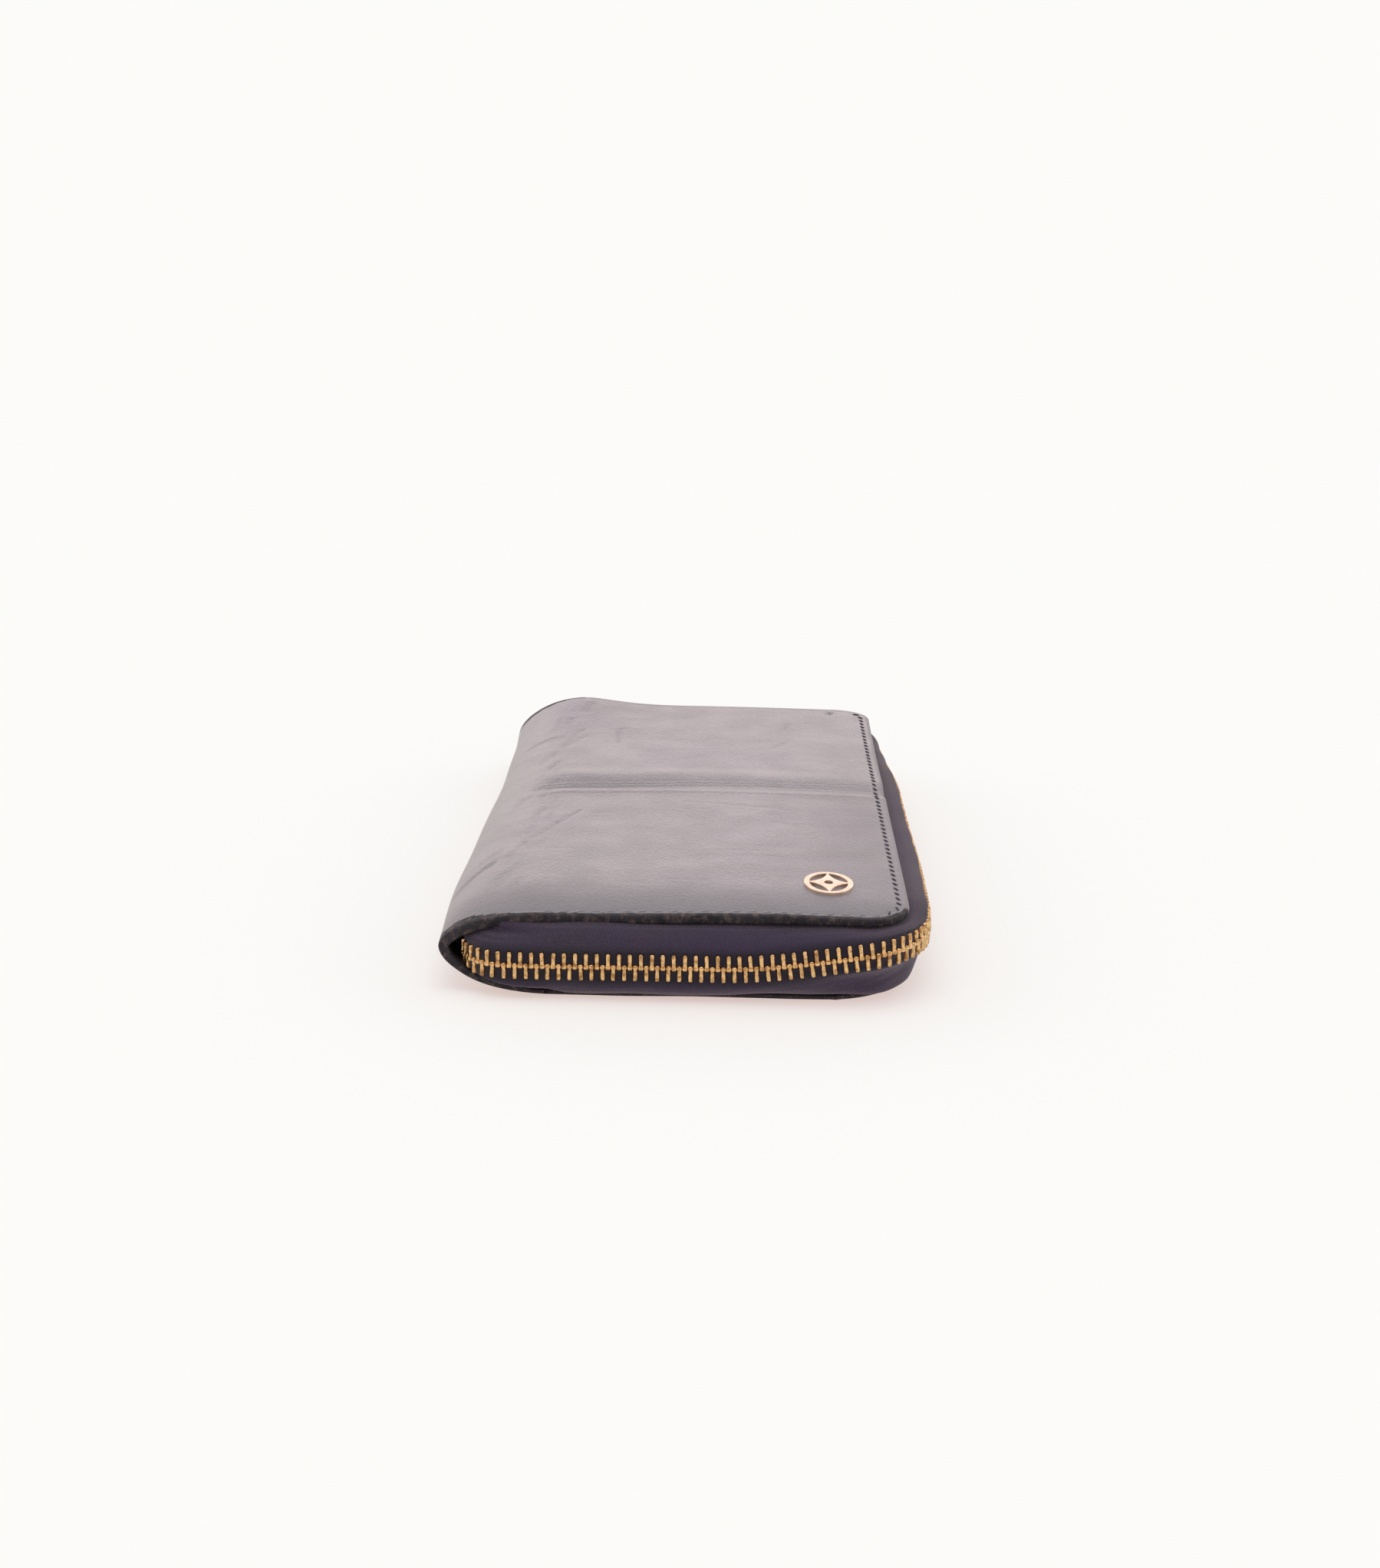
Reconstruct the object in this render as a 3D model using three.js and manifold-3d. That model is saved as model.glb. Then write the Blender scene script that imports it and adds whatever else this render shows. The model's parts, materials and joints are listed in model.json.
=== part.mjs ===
// A long zip-around wallet in leather, lying closed on its back cover. Millimetres, +Z up.
// The origin is on the resting face. The spine is on the -X side, the long run of the zip on the +X side,
// and the slider is parked at the closed end of the zip, on the +Y short side.
import * as THREE from "three";
import { mergeVertices } from "three/addons/utils/BufferGeometryUtils.js";
import Module from "manifold-3d";

// ---- Driving dimensions ----
const THICKNESS = 18.6; // closed wallet, outside to outside, without the emblem
const HALF_WIDTH = 52.5; // spine to the outer face of the zip teeth
const HALF_LENGTH = 97.5; // over the zip teeth of the two short sides
const SETBACK = 5.3; // how far the covers stop inside the outer face of the teeth
const COVER_CORNER = 10;
const LEATHER = 1.4;
const BOARD = 0.6;
const SKIN = 0.5; // lining, pocket leather and zip tape
const LAYER_GAP = 0.1;
const PIECE_GAP = 0.3;
const EDGE_ROUND = 0.3;

const MID_Z = THICKNESS / 2;
const COVER_X = HALF_WIDTH - SETBACK;
const COVER_Y = HALF_LENGTH - SETBACK;
const SPINE_X = -30; // where the flat panels turn into the spine
const SPINE_REACH = HALF_WIDTH + SPINE_X;

// Zip chain
const CHAIN_Z = 8.5;
const TOOTH_OUT = 1.1; // half the chain's thickness
const TOOTH_PITCH = 2.3;
const CHAIN_X = HALF_WIDTH - TOOTH_OUT;
const CHAIN_Y = HALF_LENGTH - TOOTH_OUT;
const CORNER_X = COVER_X - COVER_CORNER;
const CORNER_Y = COVER_Y - COVER_CORNER;
const CHAIN_CORNER = CHAIN_X - CORNER_X;
const END_TURN = 10; // radius with which each end of the zip turns into the spine
const END_X = -36;
const END_Y = CHAIN_Y - END_TURN;
const ARC_STEP = 15; // degrees

// ---- Geometry helpers ----
const wasm = await Module();
wasm.setup();

function toSolid(geometry) {
  const bare = new THREE.BufferGeometry();
  const flat = geometry.index ? geometry.toNonIndexed() : geometry;
  bare.setAttribute("position", flat.getAttribute("position").clone());
  const merged = mergeVertices(bare, 1e-4);
  const mesh = new wasm.Mesh({
    numProp: 3,
    vertProperties: merged.attributes.position.array,
    triVerts: new Uint32Array(merged.index.array),
  });
  return new wasm.Manifold(mesh);
}

function toGeometry(solid) {
  const mesh = solid.getMesh();
  const geometry = new THREE.BufferGeometry();
  geometry.setAttribute("position", new THREE.BufferAttribute(mesh.vertProperties, 3));
  geometry.setIndex(new THREE.BufferAttribute(mesh.triVerts, 1));
  return geometry;
}

const join = (...shapes) => toGeometry(shapes.map(toSolid).reduce((whole, next) => whole.add(next)));
const cut = (body, ...tools) =>
  toGeometry(tools.map(toSolid).reduce((whole, tool) => whole.subtract(tool), toSolid(body)));

function block([x0, x1], [y0, y1], [z0, z1]) {
  const geometry = new THREE.BoxGeometry(x1 - x0, y1 - y0, z1 - z0);
  return geometry.translate((x0 + x1) / 2, (y0 + y1) / 2, (z0 + z1) / 2);
}

// A flat sheet with the given outline, from z0 up to z1. A round above 0 breaks its edges.
function sheet(outline, [z0, z1], round = 0, curveSegments = 6) {
  const geometry = new THREE.ExtrudeGeometry(outline, {
    depth: z1 - z0 - 2 * round,
    curveSegments,
    bevelEnabled: round > 0,
    bevelThickness: round,
    bevelSize: round,
    bevelOffset: -round,
    bevelSegments: 1,
  });
  return geometry.translate(0, 0, z0 + round);
}

// A rectangle whose two +X corners are round, as every panel of the wallet is.
function panelOutline(x0, x1, halfLength, corner) {
  const shape = new THREE.Shape();
  shape.moveTo(x0, -halfLength);
  shape.lineTo(x1 - corner, -halfLength);
  shape.absarc(x1 - corner, -halfLength + corner, corner, -Math.PI / 2, 0);
  shape.absarc(x1 - corner, halfLength - corner, corner, 0, Math.PI / 2);
  shape.lineTo(x0, halfLength);
  return shape;
}

// A shape drawn in X and Z, extruded along Y over the whole of [y0, y1].
function alongY(outline, [y0, y1]) {
  const depth = y1 - y0;
  const geometry = new THREE.ExtrudeGeometry(outline, { depth, bevelEnabled: false, curveSegments: 16 });
  return geometry.rotateX(Math.PI / 2).translate(0, y1, 0);
}

const flip = ([z0, z1]) => [THICKNESS - z1, THICKNESS - z0];

// ---- The zip's route in plan: round stretches, counter-clockwise, joined by straight ones ----
const degrees = THREE.MathUtils.degToRad;

function arc(cx, cy, radius, from, to) {
  const at = (angle) => ({
    x: cx + radius * Math.cos(angle),
    y: cy + radius * Math.sin(angle),
    heading: angle + Math.PI / 2,
  });
  const [a0, a1] = [degrees(from), degrees(to)];
  return {
    length: radius * (a1 - a0),
    stops: Math.ceil((to - from) / ARC_STEP),
    place: (s) => at(a0 + s / radius),
  };
}

function straight(from, to) {
  const length = Math.hypot(to.x - from.x, to.y - from.y);
  const share = (s, a, b) => a + ((b - a) * s) / length;
  return {
    length,
    stops: 1,
    place: (s) => ({ x: share(s, from.x, to.x), y: share(s, from.y, to.y), heading: from.heading }),
  };
}

function linked(arcs) {
  const pieces = [arcs[0]];
  arcs.slice(1).forEach((next) => {
    const last = pieces[pieces.length - 1];
    pieces.push(straight(last.place(last.length), next.place(0)), next);
  });
  return pieces;
}

class Route {
  constructor(pieces) {
    this.pieces = pieces;
    this.starts = pieces.map((_, i) => pieces.slice(0, i).reduce((sum, p) => sum + p.length, 0));
    this.length = pieces.reduce((sum, p) => sum + p.length, 0);
  }

  at(s) {
    const i = this.starts.findLastIndex((start) => s >= start);
    const n = Math.max(i, 0);
    return this.pieces[n].place(s - this.starts[n]);
  }

  // The distances at which a sweep from s0 to s1 needs a section.
  stations(s0, s1) {
    const inner = this.pieces.flatMap((piece, i) =>
      Array.from({ length: piece.stops }, (_, k) => this.starts[i] + (piece.length * k) / piece.stops),
    );
    return [s0, ...inner.filter((s) => s > s0 + 0.01 && s < s1 - 0.01), s1];
  }
}

const zipRoute = new Route(
  linked([
    arc(END_X, -END_Y, END_TURN, 180, 270),
    arc(CORNER_X, -CORNER_Y, CHAIN_CORNER, 270, 360),
    arc(CORNER_X, CORNER_Y, CHAIN_CORNER, 0, 90),
    arc(END_X, END_Y, END_TURN, 90, 180),
  ]),
);
const NEAR_SIDE = zipRoute.starts[1]; // where the straight stretch of the -Y side starts
const FAR_SIDE = zipRoute.starts[5]; // where the straight stretch of the +Y side starts
const FAR_SIDE_END = zipRoute.starts[6];

// The curve that ExtrudeGeometry follows between two distances, stepping from station to station.
class RouteCurve extends THREE.Curve {
  constructor(route, s0, s1) {
    super();
    this.route = route;
    this.stops = route.stations(s0, s1);
    this.steps = this.stops.length - 1;
  }

  station(t) {
    const place = t * this.steps;
    const i = Math.min(Math.floor(place), this.steps - 1);
    const s = THREE.MathUtils.lerp(this.stops[i], this.stops[i + 1], place - i);
    return this.route.at(s);
  }

  getPoint(t) {
    const { x, y } = this.station(t);
    return new THREE.Vector3(x, y, 0);
  }

  getTangent(t) {
    const { heading } = this.station(t);
    return new THREE.Vector3(Math.cos(heading), Math.sin(heading), 0);
  }

  getPointAt(t) {
    return this.getPoint(t);
  }

  getTangentAt(t) {
    return this.getTangent(t);
  }
}

// Sweeps a section along the zip's route. Section points are [out, z]: out of the wallet, and up.
function sweep(section, s0, s1) {
  const curve = new RouteCurve(zipRoute, s0, s1);
  const shape = new THREE.Shape(section.map(([out, z]) => new THREE.Vector2(-z, -out)));
  return new THREE.ExtrudeGeometry(shape, { steps: curve.steps, extrudePath: curve });
}

// ---- Leather shell, boards and linings ----
const coverZ = [0, LEATHER];
const boardZ = [LEATHER + LAYER_GAP, LEATHER + LAYER_GAP + BOARD];
const liningZ = [boardZ[1] + LAYER_GAP, boardZ[1] + LAYER_GAP + SKIN];
const layerZ = (n) => {
  const base = liningZ[1] + LAYER_GAP + n * (SKIN + LAYER_GAP);
  return [base, base + SKIN];
};

const TAPE_FLAP = 8.5; // how far the tape reaches inside the covers, from the chain
const BOARD_INSET = TAPE_FLAP - (CHAIN_X - COVER_X) + 0.6;
const LINING_INSET = 2;
const POCKET_Y = 87;
const POCKET_X0 = -28;
const SLIP_X = 42;
const CARD_TOPS = [38, 28, 18];

const cover = (z) =>
  sheet(panelOutline(SPINE_X + PIECE_GAP, COVER_X, COVER_Y, COVER_CORNER), z, EDGE_ROUND);
const board = (z) =>
  sheet(panelOutline(POCKET_X0, COVER_X - BOARD_INSET, COVER_Y - BOARD_INSET, COVER_CORNER / 2), z);
function lining(z) {
  const [x, y, corner] = [COVER_X, COVER_Y, COVER_CORNER].map((size) => size - LINING_INSET);
  return sheet(panelOutline(SPINE_X + PIECE_GAP, x, y, corner), z);
}
const pocket = (x1, z) => sheet(panelOutline(POCKET_X0, x1, POCKET_Y, 3), z);

// The spine is a half ellipse in section. Inset is how deep under the outer face the layer starts.
function spineShell(inset, thickness, halfLength) {
  const half = (deeper, clockwise) => {
    const [a, b] = [SPINE_REACH - inset - deeper, MID_Z - inset - deeper];
    const path = new THREE.Path();
    const [from, to] = clockwise ? [-Math.PI / 2, Math.PI / 2] : [Math.PI / 2, (3 * Math.PI) / 2];
    path.absellipse(SPINE_X, MID_Z, a, b, from, clockwise ? to - 2 * Math.PI : to, clockwise);
    return path.getPoints(20);
  };
  const outline = new THREE.Shape([...half(0, false), ...half(thickness, true)]);
  return alongY(outline, [-halfLength, halfLength]);
}

// ---- Emblem: a pierced lozenge on two posts, held by a washer behind the leather ----
const EMBLEM = { x: COVER_X - 17, y: -COVER_Y + 20, width: 10.6, height: 14.4, thick: 0.8, post: 0.5 };
const POSTS_APART = 6;

function lozenge(width, height) {
  const [w, h] = [width / 2, height / 2];
  const shape = new THREE.Shape();
  shape.moveTo(0, -h);
  shape.quadraticCurveTo(w * 0.3, -h * 0.3, w, 0);
  shape.quadraticCurveTo(w * 0.3, h * 0.3, 0, h);
  shape.quadraticCurveTo(-w * 0.3, h * 0.3, -w, 0);
  shape.quadraticCurveTo(-w * 0.3, -h * 0.3, 0, -h);
  return shape;
}

function rod(radius, x, y, [z0, z1], sides = 12) {
  const geometry = new THREE.CylinderGeometry(radius, radius, z1 - z0, sides);
  return geometry.rotateX(Math.PI / 2).translate(x, y, (z0 + z1) / 2);
}

const postYs = [-POSTS_APART / 2, POSTS_APART / 2].map((y) => EMBLEM.y + y);
const posts = (radius, z) => postYs.map((y) => rod(radius, EMBLEM.x, y, z));
const emblemZ = [THICKNESS + 0.05, THICKNESS + 0.05 + EMBLEM.thick];
const washerZ = flip(boardZ);

function emblem() {
  const outline = new THREE.Shape();
  outline.absellipse(0, 0, EMBLEM.width / 2, EMBLEM.height / 2, 0, Math.PI * 2);
  const ring = sheet(outline, emblemZ, 0, 16).translate(EMBLEM.x, EMBLEM.y, 0);
  const inner = new THREE.Shape();
  inner.absellipse(0, 0, EMBLEM.width / 2 - 1.1, EMBLEM.height / 2 - 1.1, 0, Math.PI * 2);
  const opening = sheet(inner, [emblemZ[0] - 1, emblemZ[1] + 1], 0, 16).translate(EMBLEM.x, EMBLEM.y, 0);
  const lattice = lozenge(EMBLEM.width - 1, EMBLEM.height - 1);
  const star = sheet(lattice, emblemZ).translate(EMBLEM.x, EMBLEM.y, 0);
  const legs = posts(EMBLEM.post, [washerZ[0], emblemZ[0] + 0.2]);
  return join(cut(ring, opening), star, ...legs);
}

const emblemWasher = () =>
  cut(rod(4, EMBLEM.x, EMBLEM.y, washerZ, 20), ...posts(EMBLEM.post + 0.2, [0, THICKNESS]));
const frontCover = () => cut(cover(flip(coverZ)), ...posts(EMBLEM.post + 0.2, [0, THICKNESS + 1]));
const frontBoard = () => cut(board(flip(boardZ)), rod(4.4, EMBLEM.x, EMBLEM.y, [0, THICKNESS], 20));

// ---- Zip tape: a wall beside the teeth that swells out and tucks in between cover and lining ----
const TAPE_HALF = SKIN / 2;
const TAPE_START = 3.3; // from the chain's middle, just past the cord that carries the teeth
const tuckZ = [LEATHER + LAYER_GAP, LEATHER + LAYER_GAP + SKIN];
const TAIL = 0.6; // height of the plain wall that runs on into the spine

function lowerTapeSection() {
  const top = CHAIN_Z - TAPE_START;
  return [
    [TAPE_HALF, top],
    [TAPE_HALF, top - 0.8],
    [-0.8, 3],
    [-2.6, tuckZ[0] + 0.4],
    [-5.5, tuckZ[0]],
    [-TAPE_FLAP, tuckZ[0]],
    [-TAPE_FLAP, tuckZ[1]],
    [-5.3, tuckZ[1]],
    [-2.9, tuckZ[1] + 0.4],
    [-1.25, 3.3],
    [-TAPE_HALF, top - 0.7],
    [-TAPE_HALF, top],
  ];
}

function upperTapeSection() {
  const [low, high] = flip(tuckZ);
  const bottom = CHAIN_Z + TAPE_START;
  return [
    [TAPE_HALF, bottom],
    [-TAPE_HALF, bottom],
    [-TAPE_HALF, bottom + 1.1],
    [-1.3, 14.1],
    [-3.4, 15.5],
    [-5.7, low],
    [-TAPE_FLAP, low],
    [-TAPE_FLAP, high],
    [-5.5, high],
    [-3, 16],
    [-0.8, 14.4],
    [TAPE_HALF, bottom + 1.2],
  ];
}

const wallSection = (z0, z1) => [
  [TAPE_HALF, z0],
  [-TAPE_HALF, z0],
  [-TAPE_HALF, z1],
  [TAPE_HALF, z1],
];

function tape(section, wall) {
  const flapStart = NEAR_SIDE + (SPINE_X - END_X) + 1;
  const flapEnd = FAR_SIDE_END - (SPINE_X - END_X) - 1;
  const tail = wallSection(...wall);
  return join(
    sweep(section, flapStart, flapEnd),
    sweep(tail, 0.6, flapStart + 1),
    sweep(tail, flapEnd - 1, zipRoute.length - 0.6),
  );
}

// ---- Zip teeth: a cord with the teeth of one row on it ----
const HEAD = 0.45; // how far a tooth reaches past the chain's middle
const CORD = [1.5, 3.1];
const TOOTH_WIDE = 0.85;

function comb({ curve, cord, tooth, s0, s1, pitch, phase }) {
  const teeth = [];
  const first = Math.ceil((s0 + tooth.wide / 2 - phase) / pitch);
  for (let s = first * pitch + phase; s < s1 - tooth.wide / 2; s += pitch) {
    const { x, y, heading } = curve.at(s);
    const [outer, inner] = tooth.out;
    const geometry = block([-tooth.wide / 2, tooth.wide / 2], [-outer, -inner], tooth.z);
    teeth.push(geometry.rotateZ(heading).translate(x, y, 0));
  }
  return join(cord, ...teeth);
}

function zipRow(side, s0, s1) {
  const z = (h) => CHAIN_Z + side * h;
  const span = (a, b) => [Math.min(a, b), Math.max(a, b)];
  const [c0, c1] = span(z(CORD[0]), z(CORD[1]));
  const out = TOOTH_OUT - 0.1;
  const cord = sweep([[out, c0], [-out, c0], [-out, c1], [out, c1]], s0, s1);
  const tooth = { wide: TOOTH_WIDE, out: [out - 0.1, 0.1 - out], z: span(z(-HEAD), z(CORD[0] + 0.6)) };
  const phase = side > 0 ? 0 : TOOTH_PITCH / 2;
  return comb({ curve: zipRoute, cord, tooth, s0, s1, pitch: TOOTH_PITCH, phase });
}

// ---- Sliders. Local frame: u along the chain, n out of it, h across it; placed later ----
const SLIDER = { length: 9.5, channel: 3.4, rim: 0.7, lip: 0.6, face: 1.3, plate: 1, x: -31 };
const BRIDGE = { half: 3.4, wide: 1.8, leg: 0.9, clear: 1.7 };
const PULL = { length: 25, wide: 4.8, thick: 0.9, window: 4.6, slot: 2.5, bar: 0.9 };

// Built lying in u and h with n up, then stood up against the tape.
function mainSlider() {
  const half = SLIDER.channel + SLIDER.rim;
  const u = SLIDER.length / 2;
  const plate = ([n0, n1]) => block([-u, u], [-half, half], [n0, n1]);
  const outer = plate([SLIDER.face, SLIDER.face + SLIDER.plate]);
  const inner = plate([-SLIDER.face - SLIDER.plate, -SLIDER.face]);
  const lips = [-1, 1].flatMap((side) =>
    [-1, 1].map((face) => {
      const across = [side * SLIDER.channel, side * half].sort((a, b) => a - b);
      const through = [face * SLIDER.lip, face * (SLIDER.face + 0.2)].sort((a, b) => a - b);
      return block([-u, u], across, through);
    }),
  );
  const wedge = new THREE.CylinderGeometry(1.5, 1.5, 2 * SLIDER.face + 0.4, 4);
  const diamond = wedge.rotateX(Math.PI / 2).translate(-u + 1.6, 0, 0);
  return join(outer, inner, diamond, ...lips);
}

// An arch over the pull's crossbar, standing on the slider's outer plate.
function bridge(size, base) {
  const { half, wide, leg, clear } = size;
  const top = base + clear + leg;
  const shape = new THREE.Shape();
  shape.moveTo(-half, base);
  shape.lineTo(-half, base + clear * 0.6);
  shape.quadraticCurveTo(-half, top, -half + 1.6, top);
  shape.lineTo(half - 1.6, top);
  shape.quadraticCurveTo(half, top, half, base + clear * 0.6);
  shape.lineTo(half, base);
  shape.lineTo(half - leg, base);
  shape.lineTo(half - leg, base + clear);
  shape.lineTo(-half + leg, base + clear);
  shape.lineTo(-half + leg, base);
  const geometry = new THREE.ExtrudeGeometry(shape, { depth: wide, bevelEnabled: false, curveSegments: 4 });
  return geometry.rotateX(Math.PI / 2).translate(0, wide / 2, 0);
}

// A flat tab with a window for the bridge. Its crossbar is at u = 0, and it lies along +u.
function pullTab(size, n) {
  const { length, wide, thick, window, slot, bar } = size;
  const half = wide / 2;
  const shape = new THREE.Shape();
  shape.moveTo(-bar / 2, -half);
  shape.lineTo(length - half, -half);
  shape.absarc(length - half, 0, half, -Math.PI / 2, Math.PI / 2);
  shape.lineTo(-bar / 2, half);
  const gap = new THREE.Path();
  gap.moveTo(bar / 2, -slot / 2);
  gap.lineTo(bar / 2 + window, -slot / 2);
  gap.lineTo(bar / 2 + window, slot / 2);
  gap.lineTo(bar / 2, slot / 2);
  const hole = new THREE.Path();
  hole.absarc(length - half - 0.6, 0, half * 0.45, 0, Math.PI * 2);
  shape.holes.push(gap, hole);
  return sheet(shape, [n - thick / 2, n + thick / 2]);
}

const SLIDER_FACE = SLIDER.face + SLIDER.plate;
const PIVOT_OUT = SLIDER_FACE + BRIDGE.clear / 2;
// Turns a piece built with n along +Z so that n points out of the +Y side and u stays along +X.
const standOnFarSide = (geometry) => geometry.rotateX(-Math.PI / 2).translate(SLIDER.x, CHAIN_Y, CHAIN_Z);

// ---- Stops of the main zip ----
const STOP = { long: 1.4, out: 1.2 };

function stopAt(s, [z0, z1]) {
  const { x, y, heading } = zipRoute.at(s);
  const geometry = block([-STOP.long / 2, STOP.long / 2], [-STOP.out, STOP.out], [z0, z1]);
  return geometry.rotateZ(heading).translate(x, y, 0);
}

// ---- Coin pocket: two walls, a band round three sides and a zip along the fourth ----
const COIN = { x0: -26, x1: 26, y: 80, half: 2.5, wall: 0.8, band: 0.8, corner: 4 };
const COIN_ZIP = { x: 28, out: 1.4, half: 2.1, cord: 0.8, pitch: 2, wide: 0.7, teethY: 73, tapeIn: 18 };
const COIN_SLIDER = { length: 7.5, face: 2, plate: 0.8, rim: 0.6, y: 73 };
const COIN_BRIDGE = { half: 2.7, wide: 1.4, leg: 0.7, clear: 1.4 };
const COIN_PULL = { length: 14, wide: 3.6, thick: 0.7, window: 3.6, slot: 2, bar: 0.7 };

const coinWallZ = [MID_Z - COIN.half, MID_Z - COIN.half + COIN.wall];
const coinWall = (z) => sheet(panelOutline(COIN.x0, COIN.x1, COIN.y, COIN.corner), z);
const insideZ = [coinWallZ[1] + LAYER_GAP, THICKNESS - coinWallZ[1] - LAYER_GAP];
const coinTapeZ = [insideZ[0], insideZ[0] + SKIN];

function coinBand() {
  const shape = new THREE.Shape();
  const [x0, x1, y, b] = [COIN.x0 + 0.4, COIN_ZIP.tapeIn - 1, COIN.y - 0.4, COIN.band];
  shape.moveTo(x1, -y);
  shape.lineTo(x1, -y + b);
  shape.lineTo(x0 + b, -y + b);
  shape.lineTo(x0 + b, y - b);
  shape.lineTo(x1, y - b);
  shape.lineTo(x1, y);
  shape.lineTo(x0, y);
  shape.lineTo(x0, -y);
  return sheet(shape, insideZ);
}

const coinTape = (z) => block([COIN_ZIP.tapeIn, COIN_ZIP.x], [-COIN.y + 1, COIN.y - 1], z);
const coinZipEnd = (y) => ({ x: COIN_ZIP.x, y, heading: Math.PI / 2 });
const coinRoute = new Route([straight(coinZipEnd(-COIN.y), coinZipEnd(COIN.y))]);

function coinRow(side) {
  const x = [COIN_ZIP.x + PIECE_GAP, COIN_ZIP.x + PIECE_GAP + COIN_ZIP.out];
  const z = (h) => MID_Z + side * h;
  const span = (a, b) => [Math.min(a, b), Math.max(a, b)];
  const ends = [-COIN_ZIP.teethY, COIN_SLIDER.y + 0.4];
  const cord = block(x, ends, span(z(COIN_ZIP.half - COIN_ZIP.cord), z(COIN_ZIP.half)));
  const tooth = {
    wide: COIN_ZIP.wide,
    out: [x[1] - COIN_ZIP.x - 0.1, x[0] - COIN_ZIP.x + 0.1],
    z: span(z(-0.35), z(COIN_ZIP.half - COIN_ZIP.cord / 2)),
  };
  const [s0, s1] = ends.map((y) => y + COIN.y);
  const phase = side > 0 ? 0 : COIN_ZIP.pitch / 2;
  return comb({ curve: coinRoute, cord, tooth, s0, s1, pitch: COIN_ZIP.pitch, phase });
}

const coinStop = (y) => {
  const x = COIN_ZIP.x + PIECE_GAP;
  return block([x, x + COIN_ZIP.out], [y - 0.8, y + 0.8], [MID_Z - COIN_ZIP.half, MID_Z + COIN_ZIP.half]);
};

// Built like the main slider, but its inner plate is narrow, because it runs between the two tapes.
function coinSlider() {
  const { length, face, plate, rim } = COIN_SLIDER;
  const u = length / 2;
  const channel = COIN_ZIP.half + PIECE_GAP;
  const outer = block([-u, u], [-channel - rim, channel + rim], [face, face + plate]);
  const inner = block([-u, u], [-0.8, 0.8], [-1, -0.2]);
  const rims = [-1, 1].map((side) => {
    const across = [side * channel, side * (channel + rim)].sort((a, b) => a - b);
    return block([-u, u], across, [0.3, face + 0.2]);
  });
  const wedge = new THREE.CylinderGeometry(1, 1, face + 1, 4);
  const diamond = wedge.rotateX(Math.PI / 2).translate(-u + 1.2, 0, face / 2 - 0.1);
  return join(outer, inner, diamond, ...rims);
}

const COIN_PIVOT_OUT = COIN_SLIDER.face + COIN_SLIDER.plate + COIN_BRIDGE.clear / 2;
// Turns a piece built with n along +Z so that n points along +X and u along -Y.
function standOnCoinZip(geometry) {
  return geometry.rotateX(-Math.PI / 2).rotateZ(-Math.PI / 2).translate(COIN_ZIP.x, COIN_SLIDER.y, MID_Z);
}

// ---- Accordion gussets: a folded strip in each gap beside the coin pocket, at both short ends ----
const GUSSET = { x0: -27, x1: 17, outer: 88, depth: 18, ply: 0.4 };

function gusset(end, [z0, z1]) {
  const { outer, depth, ply } = GUSSET;
  const inner = outer - depth;
  const shape = new THREE.Shape();
  shape.moveTo(outer, z0);
  shape.lineTo(inner, z0);
  shape.lineTo(inner, z1);
  shape.lineTo(outer, z1);
  shape.lineTo(outer, z1 - ply);
  shape.lineTo(inner + ply, z1 - ply);
  shape.lineTo(inner + ply, z0 + ply);
  shape.lineTo(outer, z0 + ply);
  const geometry = new THREE.ExtrudeGeometry(shape, { depth: GUSSET.x1 - GUSSET.x0, bevelEnabled: false });
  geometry.rotateX(Math.PI / 2).rotateZ(Math.PI / 2).translate(GUSSET.x0, 0, 0);
  return end > 0 ? geometry : geometry.rotateZ(Math.PI).translate(GUSSET.x0 + GUSSET.x1, 0, 0);
}

const lowerGussetZ = [layerZ(3)[1] + 0.2, coinWallZ[0] - 0.3];

// ---- Materials ----
const paint = (color, roughness, metalness = 0) =>
  new THREE.MeshStandardMaterial({ color, roughness, metalness });
const materials = {
  leather: paint(0x4a4e5c, 0.45),
  innerLeather: paint(0x23222e, 0.55),
  lining: paint(0x2a2733, 0.8),
  board: paint(0x8d7a62, 0.9),
  tape: paint(0x2b2536, 0.85),
  brass: paint(0xc9974f, 0.3, 1),
  paleGold: paint(0xe6cbaa, 0.25, 1),
};

// ---- Assembly ----
const wallet = new THREE.Group();

function add(name, geometry, material) {
  const mesh = new THREE.Mesh(geometry, material);
  mesh.name = name;
  wallet.add(mesh);
}

add("back_cover", cover(coverZ), materials.leather);
add("front_cover", frontCover(), materials.leather);
add("spine_leather", spineShell(0, LEATHER, COVER_Y), materials.leather);
add("spine_lining", spineShell(liningZ[0], SKIN, COVER_Y - BOARD_INSET - 3), materials.lining);
add("back_board", board(boardZ), materials.board);
add("front_board", frontBoard(), materials.board);
add("back_lining", lining(liningZ), materials.lining);
add("front_lining", lining(flip(liningZ)), materials.lining);
add("back_slip_pocket", pocket(SLIP_X, layerZ(0)), materials.innerLeather);
add("front_slip_pocket", pocket(SLIP_X, flip(layerZ(0))), materials.innerLeather);
CARD_TOPS.forEach((top, i) => {
  add(`back_card_strip_${i + 1}`, pocket(top, layerZ(i + 1)), materials.innerLeather);
  add(`front_card_strip_${i + 1}`, pocket(top, flip(layerZ(i + 1))), materials.innerLeather);
});
add("emblem", emblem(), materials.paleGold);
add("emblem_washer", emblemWasher(), materials.brass);

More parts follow.
